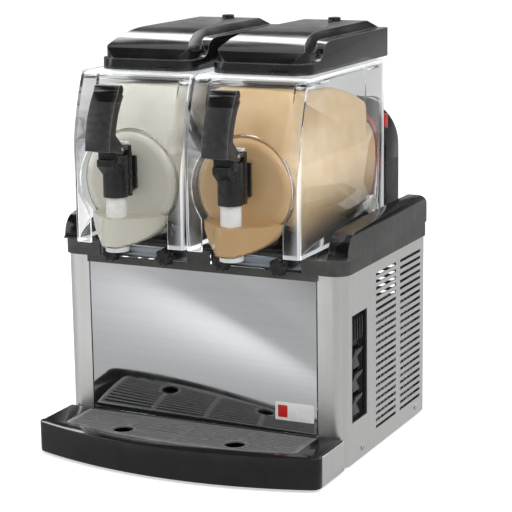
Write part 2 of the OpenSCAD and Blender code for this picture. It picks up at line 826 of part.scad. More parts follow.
module jacket_shape() {
    color("aliceblue", 0.4)
    difference() {
        jacket_body(0, jacket_z, jacket_top_z);
        jacket_body(jacket_wall, jacket_z - 1, jacket_top_z - jacket_wall);
        // mouth under the lid
        translate([0, 0, jacket_top_z - jacket_wall - 1]) linear_extrude(jacket_wall + 2)
            rounded_plan(lid_half_w - lid_seat, lid_front_y + lid_seat, hopper_rear_y + 2,
                lid_corner_r - lid_seat, 4);
        // opening for the drum nose and the spout, as deep as the front leans at the drum's top
        translate([0, 0, axis_z]) rod_y(drum_r + 1, jacket_front_y - 30, nose_opening_y);
        block([-spout_half_w - 2, jacket_front_y - 30, jacket_z - 1],
            [spout_half_w + 2, nose_opening_y, axis_z - 30]);
        // hole for the side knob
        translate([0, side_knob_y, side_knob_z]) rod_x(side_knob_r + 1, jacket_w / 2 - 10, jacket_w / 2 + 5);
    }
}
nose_opening_y = jacket_front_y + lean_r - sqrt(pow(lean_r, 2) - pow(axis_z + drum_r - lean_z, 2))
    + jacket_wall + 3.6;
side_knob_y = jacket_rear_y - 38;
side_knob_z = axis_z - 54;

// Drum of the bowl as a revolved profile: rounded nose in front, open at the back.
module drum_solid(r, y0, y1, round_r) {
    translate([0, 0, axis_z]) translate([0, y0, 0]) revolve_y()
        polygon(concat([[0, 0]], arc(r - round_r, round_r, round_r, round_r, 270, 360, 10),
            [[r, y1 - y0], [0, y1 - y0]]));
}

module hopper_solid(inset, z1) {
    intersection() {
        translate([0, 0, axis_z]) linear_extrude(z1 - axis_z)
            rounded_plan(hopper_w / 2 - inset, hopper_front_y + inset - 1, hopper_rear_y - inset,
                hopper_corner_r - inset, hopper_rear_r - inset);
        along_x(-jacket_w, jacket_w)
            leaning_side(hopper_front_y + inset, jacket_rear_y, inset);
    }
}

// Plan of the spout: a nose round the tap that widens back to the drum.
module spout_plan() {
    half = spout_half_w;
    r = spout_nose_r;
    reach = drum_front_y + 8 - tap_y;
    tilt = atan((half - r) / reach);
    polygon(concat(arc(0, tap_y, r, r, 180 + tilt, 360 - tilt, 16),
        [[half, drum_front_y + 8], [-half, drum_front_y + 8]]));
}

// Front outline of the spout, round underneath like the drum; the deck and the floor trim it.
module spout_face() {
    deck = spout_deck_z;
    polygon(concat([[spout_half_w, deck + 5]],
        arc(0, deck, spout_half_w, deck - spout_floor_z + 1, 0, -180, 24), [[-spout_half_w, deck + 5]]));
}

module bowl_shape() {
    color("mistyrose", 0.5)
    difference() {
        union() {
            drum_solid(drum_r, drum_front_y, drum_rear_y, drum_round_r);
            hopper_solid(0, jacket_top_z - jacket_wall - gap);
            // rim out to the jacket
            intersection() {
                jacket_body(jacket_wall + gap, rim_z, rim_z + rim_t);
                block([-jacket_w, jacket_front_y - 1, rim_z - 5], [jacket_w, hopper_rear_y + 20, rim_z + 20]);
            }
            intersection() {
                translate([0, 0, spout_floor_z]) linear_extrude(spout_deck_z - spout_floor_z) spout_plan();
                along_y(tap_y - 40, drum_front_y + 20) spout_face();
            }
            // boss for the side knob's stud
            translate([0, side_knob_y, side_knob_z]) rod_x(8, drum_r * 0.5, side_boss_x);
        }
        drum_solid(drum_r - bowl_wall, drum_front_y + bowl_wall, drum_rear_y + 5, drum_round_r - bowl_wall);
        hopper_solid(bowl_wall, jacket_top_z + 5);
        // piston bore and the channel from the drum
        translate([0, tap_y, spout_floor_z - 20]) cylinder(r = piston_r + gap, h = 100);
        translate([0, 0, spout_deck_z - 18]) rod_y(11, tap_y, drum_front_y + bowl_wall + 10);
        // blind hole for the stud
        translate([0, side_knob_y, side_knob_z]) rod_x(stud_r + 1 + shaft_fit, side_boss_x - 14, side_boss_x + 1);
    }
    // front bush for the shaft
    color("mistyrose", 0.5) translate([0, 0, axis_z]) difference() {
        rod_y(bush_r, drum_front_y + bowl_wall - 1, drum_front_y + bowl_wall + bush_len);
        rod_y(shaft_r + shaft_fit, drum_front_y + bowl_wall + 1, drum_front_y + bowl_wall + bush_len + 1);
    }
}
side_boss_x = jacket_w / 2 - side_knob_len - 1;

module side_knob_shape() {
    color("gainsboro") translate([0, side_knob_y, side_knob_z]) {
        rod_x(side_knob_r, jacket_w / 2 - side_knob_len, jacket_w / 2 + 0.5);
        rod_x(stud_r + 1, side_boss_x - 12, jacket_w / 2 - side_knob_len + 1);
    }
}

// Red ring that seals the open back of the drum on the evaporator flange.
module gasket_shape() {
    color("red") translate([0, 0, axis_z]) difference() {
        rod_y(drum_r + 2, drum_rear_y + gap, tower_front_y - gap);
        rod_y(flange_r + gap, drum_rear_y - 5, tower_front_y + 5);
    }
}

module evaporator_shape() {
    color("silver") translate([0, 0, axis_z]) difference() {
        union() {
            rod_y(evap_r, evap_front_y, tower_front_y - gap);
            rod_y(flange_r, tower_front_y - flange_t, tower_front_y);
            rod_y(evap_r - 14, evap_front_y - 3, evap_front_y + 1);
        }
        rod_y(shaft_r + 1, evap_front_y - 10, tower_front_y + 10);
        difference() {
            rod_y(evap_r - 3, evap_front_y + 3, tower_front_y + 1);
            rod_y(shaft_r + 4, evap_front_y, tower_front_y + 2);
        }
    }
}

// Spiral ribbon of the auger as one swept strip: rings of four corners along the helix.
module auger_ribbon(y0, y1) {
    steps = auger_turns * 24;
    r_in = auger_r - auger_band;
    r_out = auger_r - 0.4;
    half = 2;
    corners = [for (i = [0 : steps]) let (a = 7 + 360 * auger_turns * i / steps,
        y = y0 + (y1 - y0) * i / steps) each [
            [r_in * cos(a), y - half, r_in * sin(a)], [r_out * cos(a), y - half, r_out * sin(a)],
            [r_out * cos(a), y + half, r_out * sin(a)], [r_in * cos(a), y + half, r_in * sin(a)]]];
    last = 4 * steps;
    sides = [for (i = [0 : steps - 1], k = [0 : 3]) let (m = (k + 1) % 4) each [
        [4 * i + 4 + m, 4 * i + m, 4 * i + k], [4 * i + 4 + k, 4 * i + 4 + m, 4 * i + k]]];
    polyhedron(corners, concat([[0, 1, 2], [0, 2, 3]], sides,
        [[last + 2, last + 1, last], [last + 3, last + 2, last]]), convexity = 10);
}

module auger_shape() {
    y0 = drum_front_y + bowl_wall + bush_len + 3;
    y1 = drum_rear_y - 8;
    color("white") translate([0, 0, axis_z]) {
        auger_ribbon(y0 + 8.5, y1 - 4);
        difference() {
            union() {
                // front spider, rear hoop and the bars that tie them
                for (a = [0 : 120 : 240]) rotate([0, a, 0]) block([0, y0, -4], [auger_r - 2.5, y0 + 5, 4]);
                rod_y(shaft_r + 6, y0 - 2, y0 + 7);
                for (a = [0 : 120 : 240]) rotate([0, a, 0])
                    block([auger_r - 6.5, y0 + 1, -3], [auger_r - 1.5, y1 - 1, 3]);
                difference() {
                    rod_y(auger_r, y1 - 8, y1);
                    rod_y(auger_r - auger_band + 1, y1 - 9, y1 + 1);
                }
            }
            rod_y(shaft_r, y0 - 5, y0 + 10);
        }
    }
}

module drive_shaft_shape() {
    color("silver") translate([0, 0, axis_z])
        rod_y(shaft_r, shaft_front_y, gearbox_front_y + gearbox_d - 6);
}

// Flat gearbox in the tower with its motor hanging down into the cabinet.
module gear_motor_shape() {
    y0 = gearbox_front_y;
    color("slategray") difference() {
        union() {
            block([-gearbox_w / 2, y0, deck_z + 20], [gearbox_w / 2, y0 + gearbox_d, axis_z + 30]);
            translate([gearbox_w / 4 - 8, y0 + motor_r - 14, deck_z - motor_h]) {
                cylinder(r = motor_r - 14, h = motor_h + 21);
                cylinder(r = motor_r - 6, h = motor_h - 30);
            }
            translate([0, 0, axis_z]) rod_y(shaft_r + 3, y0 - 3, y0 + 1);
        }
        translate([0, 0, axis_z]) rod_y(shaft_r + shaft_fit, y0 - 5, y0 + gearbox_d - 5);
    }
}

// ---------- tap ----------

module tap_body_shape() {
    z0 = tap_body_z;
    z1 = z0 + tap_body_h;
    color("#202020") difference() {
        union() {
            translate([0, tap_y, z0]) cylinder(r = tap_body_r, h = tap_body_h);
            // tall back plate, and the web from it to the bowl
            block([-tap_body_r, tap_y + fin_setback, z0], [tap_body_r, tap_y + fin_setback + fin_t, z1 + fin_rise]);
            block([-tap_web / 2, tap_y, z0 + 6], [tap_web / 2, drum_front_y - gap, z1]);
            block([-tap_web, drum_front_y - 4, z0 + 6], [tap_web, drum_front_y - gap, z1 - 4]);
            // wedge in front, under the paddle's foot
            along_x(-lug_half_w + 3, lug_half_w - 3) polygon([[tap_y, z1 - wedge_h], [pivot_y - wedge_reach, z1 - wedge_h / 3],
                [pivot_y - wedge_reach, z1 - 3], [tap_y, z1 - 1]]);
            // lug for the hinge pin
            along_x(-lug_half_w, lug_half_w) polygon(concat(
                [[pivot_y - 5, z1 - 8], [pivot_y + 5, z1 - 8]],
                arc(pivot_y, pivot_z, 5, 5, 0, 180, 12)));
        }
        translate([0, tap_y, z0 - 1]) cylinder(r = piston_r + gap, h = tap_bore_h + 1);
        translate([0, tap_y, z0 - 1]) cylinder(r = stem_r + gap, h = tap_body_h + 10);
        translate([0, pivot_y, pivot_z]) rod_x(pin_r, -50, 50);
    }
}
tap_web = 14;
wedge_h = 34;
wedge_reach = 14;
fin_setback = 8;
fin_t = 6;
fin_rise = 12;

module handle_pin_shape() {
    color("silver") translate([0, pivot_y, pivot_z]) rod_x(pin_r, -paddle_w / 2 - 1, paddle_w / 2 + 1);
}

// White piston that shuts the spout, with a stem up to the lever.
module piston_shape() {
    z0 = spout_floor_z + 7;
    z1 = tap_body_z + 8;
    bar_z = pivot_z + 2 + cheek_r / 2;
    color("white") translate([0, tap_y, 0]) {
        translate([0, 0, z0]) cylinder(r = piston_r, h = z1 - z0);
        translate([0, 0, z1 - 1]) cylinder(r = stem_r, h = bar_z + crossbar_h - z1 + 1);
        block([-paddle_w / 2 - 0.5, -stem_r, bar_z], [paddle_w / 2 + 0.5, stem_r, bar_z + crossbar_h]);
    }
}

paddle_roll = 7;
cheek_rise = 30;
paddle_setback = 30;
paddle_flange = 14;
paddle_t = 4;

// Side outline of the paddle: a curved plate that leans back, with a rolled top.
module paddle_outline(t) {
    r = paddle_r;
    a = asin((paddle_h - paddle_roll) / r);
    y0 = pivot_y - paddle_setback;
    polygon(concat(arc(y0 + r, pivot_z, r, r, 180, 180 - a, 16),
        arc(y0 + r, pivot_z, r - t, r - t, 180 - a, 180, 16)));
}

module tap_handle_shape() {
    half = paddle_w / 2;
    lean = paddle_r - sqrt(pow(paddle_r, 2) - pow(paddle_h - paddle_roll, 2));
    color("#181818") difference() {
        union() {
            // front plate and side flanges
            along_x(-half, half) paddle_outline(paddle_t);
            for (x = [-half, half - cheek_t]) along_x(x, x + cheek_t) paddle_outline(paddle_flange);
            // rolled top
            translate([0, pivot_y - paddle_setback + lean + 5, pivot_z + paddle_h - paddle_roll - 1]) rod_x(6, -half, half);
            // cheeks that taper to the pin, and the arms that lift the piston
            for (x = [-half, half - cheek_t]) {
                along_x(x, x + cheek_t) polygon(concat(
                    [[pivot_y - paddle_setback + paddle_t / 2, pivot_z + eps]],
                    arc(pivot_y, pivot_z, cheek_r, cheek_r, -90, 90, 12),
                    [[pivot_y - paddle_setback + paddle_t, pivot_z + cheek_rise]]));
                block([x, pivot_y, pivot_z - 2], [x + cheek_t, tap_y + 3, pivot_z + 2]);
            }
        }
        translate([0, pivot_y, pivot_z]) rod_x(pin_r + shaft_fit, -50, 50);
    }
}

// White ring at the spout's mouth.
module outlet_ring_shape() {
    color("whitesmoke") translate([0, tap_y, spout_floor_z - outlet_h]) difference() {
        cylinder(r = piston_r + outlet_wall - 1, h = outlet_h);
        translate([0, 0, -1]) cylinder(r = piston_r - 1.5, h = outlet_h + 2);
    }
}

// ---------- lid ----------

module lid_plan(inset, back) {
    rounded_plan(lid_half_w - inset, lid_front_y + inset, lid_rear_y - back, lid_corner_r - inset, 4);
}

// Outer skirt: low in front, then an S-shaped rise to the level shoulder.
module lid_skirt_side(drop) {
    z0 = lid_z;
    low = lid_z + lid_skirt_h - drop;
    high = lid_shoulder_z - drop;
    y0 = lid_front_y + lid_rise_y;
    mid = (low + high) / 2;
    r = (high - low) / 2;
    polygon(concat([[lid_front_y - 5, z0 - 1], [lid_front_y - 5, low]],
        arc(y0, low + r, r * 2, r, -90, 0, 6),
        arc(y0 + 4 * r, high - r, r * 2, r, 180, 90, 6),
        [[lid_rear_y + 5, high], [lid_rear_y + 5, z0 - 1]]));
}
lid_rise_y = 28;
lid_side_z = lid_z + 24;

// Raised block: a long slope in front, a level top and chamfered sides.
module lid_block(inset) {
    top = lid_z + lid_h - inset;
    y0 = lid_front_y + lid_ledge + inset;
    z0 = inset > 0 ? lid_z - 1 : lid_z;
    intersection() {
        translate([0, 0, z0]) linear_extrude(lid_h + 5) lid_plan(lid_ledge + inset, inset + 2);
        along_x(-jacket_w, jacket_w) polygon(concat([[y0 - 1, lid_z - 5]],
            arc(y0 + lid_slope_y, lid_z + lid_skirt_h - inset, lid_slope_y, lid_h - lid_skirt_h, 180, 90, 8),
            [[lid_rear_y - 22, top], [lid_rear_y, lid_shoulder_z - inset], [lid_rear_y, lid_z - 5]]));
        along_y(lid_front_y - 5, lid_rear_y + 5) polygon([
            [-lid_half_w + lid_ledge + inset, lid_z - 5], [lid_half_w - lid_ledge - inset, lid_z - 5],
            [lid_half_w - lid_ledge - inset, lid_side_z - inset], [lid_top_half_w, top],
            [-lid_top_half_w, top], [-lid_half_w + lid_ledge + inset, lid_side_z - inset]]);
    }
}

module lid_shape() {
    color("#151515") difference() {
        union() {
            intersection() {
                translate([0, 0, lid_z]) linear_extrude(lid_h) lid_plan(0, 0);
                along_x(-jacket_w, jacket_w) lid_skirt_side(0);
            }
            lid_block(0);
            // lip that drops inside the hopper
            translate([0, 0, lid_z - lip_h]) linear_extrude(lip_h + 2) difference() {
                lip_plan(0);
                lip_plan(lip_t);
            }
        }
        intersection() {
            translate([0, 0, lid_z - 1]) linear_extrude(lid_h) lid_plan(lid_ledge + lid_wall, lid_wall);
            along_x(-jacket_w, jacket_w) lid_skirt_side(lid_wall);
        }
        lid_block(lid_wall);
        translate([0, lid_knob_y, lid_z]) cylinder(r = stud_r + 1 + shaft_fit, h = lid_h + 10);
    }
}

// Plan of the lip, just inside the hopper.
module lip_plan(inset) {
    rounded_plan(hopper_w / 2 - bowl_wall - lip_clear - inset, lid_front_y + lip_setback + inset,
        hopper_rear_y - bowl_wall - lip_clear - inset, lip_corner_r - inset, 4);
}
lip_h = 8;
lip_t = 2.5;
lip_clear = 1;
lip_setback = 6;
lip_corner_r = 14;
lid_knob_y = lid_rear_y - 26;

module lid_knob_shape() {
    color("#0c0c0c") translate([0, lid_knob_y, 0]) {
        translate([0, 0, lid_z + lid_h + gap]) cylinder(r = lid_knob_r, h = 4);
        translate([0, 0, lid_z + lid_h - 8]) cylinder(r = stud_r + 1, h = 9);
    }
}

// ---------- left and right nodes ----------

module left_bowl() { at_bowl(-1) bowl_shape(); }
module left_jacket() { at_bowl(-1) jacket_shape(); }
module left_gasket() { at_bowl(-1) gasket_shape(); }
module left_tap_body() { at_bowl(-1) tap_body_shape(); }
module left_outlet_ring() { at_bowl(-1) outlet_ring_shape(); }
module left_handle_pin() { at_bowl(-1) handle_pin_shape(); }
module left_tap_handle() { at_bowl(-1) tap_handle_shape(); }
module left_piston() { at_bowl(-1) piston_shape(); }
module left_side_knob() { at_bowl(-1) side_knob_shape(); }
module left_lid() { at_bowl(-1) lid_shape(); }
module left_lid_knob() { at_bowl(-1) lid_knob_shape(); }
module left_auger() { at_bowl(-1) auger_shape(); }
module left_drive_shaft() { at_bowl(-1) drive_shaft_shape(); }
module left_evaporator() { at_bowl(-1) evaporator_shape(); }
module left_gear_motor() { at_bowl(-1) gear_motor_shape(); }
module right_bowl() { at_bowl(1) bowl_shape(); }
module right_jacket() { at_bowl(1) jacket_shape(); }
module right_gasket() { at_bowl(1) gasket_shape(); }
module right_tap_body() { at_bowl(1) tap_body_shape(); }
module right_outlet_ring() { at_bowl(1) outlet_ring_shape(); }
module right_handle_pin() { at_bowl(1) handle_pin_shape(); }
module right_tap_handle() { at_bowl(1) tap_handle_shape(); }
module right_piston() { at_bowl(1) piston_shape(); }
module right_side_knob() { at_bowl(1) side_knob_shape(); }
module right_lid() { at_bowl(1) lid_shape(); }
module right_lid_knob() { at_bowl(1) lid_knob_shape(); }
module right_auger() { at_bowl(1) auger_shape(); }
module right_drive_shaft() { at_bowl(1) drive_shaft_shape(); }
module right_evaporator() { at_bowl(1) evaporator_shape(); }
module right_gear_motor() { at_bowl(1) gear_motor_shape(); }

base_pan();
feet();
left_side_panel();
right_side_panel();
splash_panel();
rear_panel();
panel_screws();
top_housing();
motor_tower();
clamp_plates();
tray_brackets();
drip_tray();
drip_grille();
switch_plate();
power_rocker();
left_mix_rocker();
right_mix_rocker();
compressor();
condenser();
fan_shroud();
fan_motor();
fan_blade();
control_box();
mains_inlet();
left_bowl();
left_jacket();
left_gasket();
left_tap_body();
left_outlet_ring();
left_handle_pin();
left_tap_handle();
left_piston();
left_side_knob();
left_lid();
left_lid_knob();
left_auger();
left_drive_shaft();
left_evaporator();
left_gear_motor();
left_catch();
left_star_knob_outer();
left_star_knob_inner();
right_bowl();
right_jacket();
right_gasket();
right_tap_body();
right_outlet_ring();
right_handle_pin();
right_tap_handle();
right_piston();
right_side_knob();
right_lid();
right_lid_knob();
right_auger();
right_drive_shaft();
right_evaporator();
right_gear_motor();
right_catch();
right_star_knob_outer();
right_star_knob_inner();
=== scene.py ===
"""Looks of a twin-bowl frozen drink dispenser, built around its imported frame.

Every length is in metres unless a name ends in _mm. Places come from the frame's own boxes.
"""

from __future__ import annotations

import json
import logging
import math
from dataclasses import dataclass, field
from enum import Enum

import bmesh
import bpy
import numpy as np
from mathutils import Matrix, Vector

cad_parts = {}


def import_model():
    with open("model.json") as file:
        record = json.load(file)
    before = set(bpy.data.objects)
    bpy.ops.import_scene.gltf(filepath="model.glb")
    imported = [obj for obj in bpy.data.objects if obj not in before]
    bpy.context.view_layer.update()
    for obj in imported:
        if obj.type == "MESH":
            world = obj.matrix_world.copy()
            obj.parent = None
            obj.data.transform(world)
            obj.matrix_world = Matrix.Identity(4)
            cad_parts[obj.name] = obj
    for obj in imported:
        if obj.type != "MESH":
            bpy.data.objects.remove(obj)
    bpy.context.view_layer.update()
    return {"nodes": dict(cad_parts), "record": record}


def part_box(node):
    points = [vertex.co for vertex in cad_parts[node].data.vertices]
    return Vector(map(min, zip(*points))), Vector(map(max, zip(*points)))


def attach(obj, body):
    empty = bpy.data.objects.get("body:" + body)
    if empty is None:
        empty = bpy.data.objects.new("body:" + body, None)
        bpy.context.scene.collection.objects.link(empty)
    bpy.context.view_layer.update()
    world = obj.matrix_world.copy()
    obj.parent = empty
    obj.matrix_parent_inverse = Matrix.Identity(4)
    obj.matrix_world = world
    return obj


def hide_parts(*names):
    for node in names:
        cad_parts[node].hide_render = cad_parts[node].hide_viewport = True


log = logging.getLogger("dispenser")
MM = 0.001
Colour = tuple[float, float, float]
frame_nodes: dict[str, bpy.types.Object] = {}


class Side(Enum):
    """Which of the two bowls a sub-assembly belongs to."""

    LEFT = "left"
    RIGHT = "right"


class Grain(Enum):
    """Surface texture of a finish."""

    MOULDED = "moulded"
    BRUSHED = "brushed"
    CAST = "cast"


# ---------------------------------------------------------------- finishes


@dataclass(frozen=True)
class Zone:
    """A second colour on the same piece, past a height or depth.

    Attributes:
        axis: 0, 1 or 2 for X, Y or Z.
        start: Coordinate where the second colour begins.
        end: Coordinate where it is complete.
        colour: Its base colour.
        roughness: Its roughness.
        spares_sides: Whether faces that look along X keep the first colour.
    """

    axis: int
    start: float
    end: float
    colour: Colour
    roughness: float
    spares_sides: bool = False


@dataclass(frozen=True)
class Finish:
    """An opaque finish.

    Attributes:
        name: Name of the material.
        dark: Base colour in the low parts of its grain.
        light: Base colour in the high parts of its grain.
        rough: Lowest and highest roughness.
        metallic: 1 for bare metal.
        grain: Kind of texture.
        grain_size: Size of one grain, or the width of one brush line.
        stretch: How much the grain is squeezed along X, Y and Z.
        bump: Height of the grain.
        coat: Weight of the clear top layer.
        edge: Colour that handling gives to the edges; on the gloss lid it is a painted highlight.
        edge_share_of_wear_and_highlight: How much of that colour shows.
        dust: How much pale dust lies on upward faces.
        zone: Optional second colour; on the drinks it is painted shade towards the front.
        sheen: Weight of the soft sheen on rubber.
        sub: Weight of the light that enters the surface.
        specular: Strength of the clear reflection, 0.5 for plain plastic.
        line: Brightness of the painted highlight line on its upper bends.
        glow: Strength of its own light.
        pool: Middle of the painted pool of light, a brighter glow of the floor, that mirrors see.
    """

    name: str
    dark: Colour
    light: Colour
    rough: tuple[float, float] = (0.3, 0.4)
    metallic: float = 0.0
    grain: Grain = Grain.MOULDED
    grain_size: float = 0.0008
    stretch: Colour = (1.0, 1.0, 1.0)
    bump: float = 0.00002
    coat: float = 0.0
    edge: Colour = (0.3, 0.3, 0.3)
    edge_share_of_wear_and_highlight: float = 0.1
    dust: float = 0.02
    zone: Zone | None = None
    sheen: float = 0.0
    sub: float = 0.0
    specular: float = 0.5
    line: float = 0.0
    glow: float = 0.0
    pool: tuple[float, float, float] = (0.0, 0.0, 0.0)


@dataclass(frozen=True)
class ClearFinish:
    """A clear moulding.

    Attributes:
        name: Name of the material.
        tint: Colour of the clear plastic.
        ior: Index of refraction.
        rough: Lowest and highest roughness.
        painted_rim_glow: Strength of the painted glow on its rounded corners and its rims.
        rims: Axis, start and end of each rim with painted glow, which is complete at the end.
    """

    name: str
    tint: Colour
    ior: float = 1.45
    rough: tuple[float, float] = (0.0, 0.03)
    painted_rim_glow: float = 0.0
    rims: tuple[tuple[int, float, float], ...] = ()


GALVANISED = Finish("galvanised_sheet", (0.42, 0.44, 0.46), (0.62, 0.64, 0.66), (0.32, 0.5), 1.0,
                    Grain.CAST, 0.012, bump=0.00001)
BRUSHED = Finish("brushed_side_steel", (0.70, 0.70, 0.69), (0.77, 0.77, 0.76), (0.30, 0.40), 1.0,
                 Grain.BRUSHED, 0.0004, (1.0, 1.0, 0.02), 0.000003, edge=(0.9, 0.9, 0.9))
POLISHED = Finish("polished_splash_steel", (0.66, 0.67, 0.68), (0.70, 0.71, 0.72), (0.05, 0.09), 1.0,
                  Grain.BRUSHED, 0.0012, (0.004, 1.0, 1.0), 0.0000004, dust=0.0)
SCREW = Finish("screw_steel", (0.5, 0.5, 0.5), (0.7, 0.7, 0.7), (0.15, 0.3), 1.0,
               Grain.BRUSHED, 0.0004, (1.0, 1.0, 0.1), 0.000006)
HOUSING = Finish("housing_black", (0.060, 0.060, 0.058), (0.085, 0.085, 0.082), (0.42, 0.55),
                 grain_size=0.0007, bump=0.000012, edge=(0.32, 0.32, 0.31), edge_share_of_wear_and_highlight=0.35,
                 zone=Zone(2, 0.2725, 0.2745, (0.006, 0.006, 0.007), 0.12, True), specular=0.35)
TOWER = Finish("tower_black", (0.022, 0.022, 0.022), (0.036, 0.036, 0.036), (0.38, 0.5),
               grain_size=0.0007, bump=0.000012, edge=(0.3, 0.3, 0.3), edge_share_of_wear_and_highlight=0.2,
               zone=Zone(2, 0.3600, 0.3606, (0.006, 0.006, 0.007), 0.12), specular=0.3)
TRAY_BLACK = Finish("tray_gloss_black", (0.008, 0.008, 0.009), (0.014, 0.014, 0.015), (0.08, 0.16),
                    grain_size=0.002, bump=0.000004, edge=(0.30, 0.30, 0.30), edge_share_of_wear_and_highlight=0.3, specular=0.35)
LID_BLACK = Finish("lid_gloss_black", (0.008, 0.008, 0.009), (0.014, 0.014, 0.015), (0.13, 0.22),
                   # The pale edge colour is a painted highlight along the lid's edges.
                   grain_size=0.002, bump=0.000005, edge=(0.6, 0.6, 0.6), edge_share_of_wear_and_highlight=0.4, dust=0.0,
                   # line: a painted highlight along the lid's upper bends.
                   specular=0.4, line=0.8)
PADDLE = Finish("paddle_charcoal", (0.026, 0.026, 0.028), (0.040, 0.040, 0.042), (0.34, 0.44),
                grain_size=0.0006, bump=0.000014, edge=(0.5, 0.5, 0.5), edge_share_of_wear_and_highlight=0.5, dust=0.0,
                zone=Zone(2, 0.4690, 0.4700, (0.007, 0.007, 0.008), 0.2), specular=0.35)
SATIN_BLACK = Finish("satin_black_plastic", (0.012, 0.012, 0.013), (0.022, 0.022, 0.023), (0.2, 0.34),
                     grain_size=0.0006, bump=0.00001, edge=(0.3, 0.3, 0.3), edge_share_of_wear_and_highlight=0.25, dust=0.0,
                     specular=0.3)
ENAMEL = Finish("compressor_enamel", (0.012, 0.012, 0.012), (0.025, 0.025, 0.025), (0.25, 0.4),
                grain=Grain.CAST, grain_size=0.004, bump=0.00003, coat=0.2)
GRILLE_GREY = Finish("grille_grey", (0.15, 0.15, 0.15), (0.21, 0.21, 0.21), (0.34, 0.46),
                     grain_size=0.0006, bump=0.00001, edge=(0.5, 0.5, 0.5), edge_share_of_wear_and_highlight=0.4, dust=0.0)
RUBBER = Finish("foot_rubber", (0.015, 0.015, 0.015), (0.03, 0.03, 0.03), (0.7, 0.85),
                grain_size=0.0005, bump=0.00003, sheen=0.2)
ALUMINIUM = Finish("fin_aluminium", (0.55, 0.56, 0.57), (0.72, 0.73, 0.74), (0.3, 0.42), 1.0,
                   Grain.BRUSHED, 0.0006, (1.0, 1.0, 0.05), 0.000008)
CAST_ALLOY = Finish("cast_alloy", (0.32, 0.32, 0.33), (0.45, 0.45, 0.46), (0.45, 0.6), 1.0,
                    Grain.CAST, 0.0015, bump=0.00008)
GREY_PLASTIC = Finish("grey_plastic", (0.08, 0.08, 0.085), (0.13, 0.13, 0.135), (0.42, 0.55))
PLATE_STEEL = Finish("clamp_plate_steel", (0.20, 0.23, 0.26), (0.32, 0.35, 0.38), (0.3, 0.42), 1.0,
                     Grain.BRUSHED, 0.0005, (0.03, 1.0, 1.0), 0.000006)
RED_SEAL = Finish("red_seal_rubber", (0.42, 0.012, 0.010), (0.60, 0.025, 0.018), (0.38, 0.5),
                  grain_size=0.0008, bump=0.00001, dust=0.0, sub=0.1)
RED_PLASTIC = Finish("red_catch_plastic", (0.50, 0.010, 0.010), (0.66, 0.020, 0.018), (0.2, 0.3),
                     dust=0.0, edge=(0.85, 0.3, 0.3), sub=0.08)
WHITE_PLASTIC = Finish("white_acetal", (0.72, 0.72, 0.70), (0.84, 0.84, 0.82), (0.25, 0.36),
                       dust=0.0, edge=(0.95, 0.95, 0.95), sub=0.12)
PALE_GREY = Finish("pale_knob_plastic", (0.50, 0.50, 0.48), (0.60, 0.60, 0.58), (0.34, 0.46),
                   dust=0.0, edge=(0.8, 0.8, 0.8), sub=0.05)
DRUM_STEEL = Finish("drum_steel", (0.55, 0.56, 0.57), (0.70, 0.71, 0.72), (0.22, 0.34), 1.0,
                    Grain.BRUSHED, 0.0005, (1.0, 0.02, 1.0), 0.000006)
CREAM_SLUSH = Finish("cream_slush", (0.80, 0.78, 0.69), (0.88, 0.86, 0.78), (0.32, 0.46),
                     # Painted shade: the drink darkens towards the front.
                     zone=Zone(1, -0.085, -0.125, (0.62, 0.60, 0.52), 0.38),
                     grain=Grain.CAST, grain_size=0.0022, bump=0.00010, edge_share_of_wear_and_highlight=0.0, dust=0.0, sub=0.15)
CARAMEL_SLUSH = Finish("caramel_slush", (0.76, 0.52, 0.26), (0.86, 0.63, 0.36), (0.32, 0.46),
                       # Painted shade: the drink darkens towards the front.
                       zone=Zone(1, -0.085, -0.125, (0.50, 0.32, 0.15), 0.38),
                       grain=Grain.CAST, grain_size=0.0022, bump=0.00010, edge_share_of_wear_and_highlight=0.0, dust=0.0, sub=0.15)
LABEL_WHITE = Finish("label_card", (0.82, 0.82, 0.82), (0.88, 0.88, 0.88), (0.3, 0.4),
                     edge_share_of_wear_and_highlight=0.0, dust=0.0, bump=0.000002)
LABEL_RED = Finish("label_patch", (0.58, 0.010, 0.010), (0.64, 0.015, 0.015), (0.3, 0.4),
                   edge_share_of_wear_and_highlight=0.0, dust=0.0, bump=0.000002)
FLOOR_PALE = Finish("studio_floor", (0.93, 0.93, 0.93), (0.95, 0.95, 0.95), (0.7, 0.8),
                    # The pool is a painted pool of light in the floor's glow, seen only in mirrors.
                    grain_size=0.01, edge_share_of_wear_and_highlight=0.0, dust=0.0, glow=0.6, pool=(-0.40, -0.90, 0.0))
# The jacket's corners and rims get a painted glow: a painted highlight.
CLEAR_JACKET = ClearFinish("clear_jacket_plastic", (0.985, 0.99, 0.99), 1.25, painted_rim_glow=0.42,
                           rims=((2, 0.2845, 0.2835), (2, 0.4915, 0.4925), (1, 0.1475, 0.1485)))
CLEAR_BOWL = ClearFinish("clear_bowl_plastic", (0.985, 0.99, 0.99), 1.22)

SMEAR_SIZE = 0.05
CLEAR_SMEAR_SIZE = 0.06
WEAR_WIDTH = 0.0011
DUST_TINT = (0.6, 0.6, 0.58, 1.0)
# Colour of the painted highlight line on the lid's upper bends.
PAINTED_HIGHLIGHT_TINT = (0.92, 0.92, 0.92, 1.0)
# Paler tint and painted glow of the clear jacket's corners and rims.
RIM_TINT = (0.97, 0.98, 1.0, 1.0)
RIM_PAINTED_GLOW = (0.95, 0.97, 1.0, 1.0)
FLOOR_UNSEEN = (0.04, 0.04, 0.04, 1.0)
FLOOR_MIRRORED = (0.78, 0.78, 0.78, 1.0)
# Glow of the painted pool of light on the floor.
FLOOR_PAINTED_POOL = (1.7, 1.7, 1.7, 1.0)


# ---------------------------------------------------------------- shader building


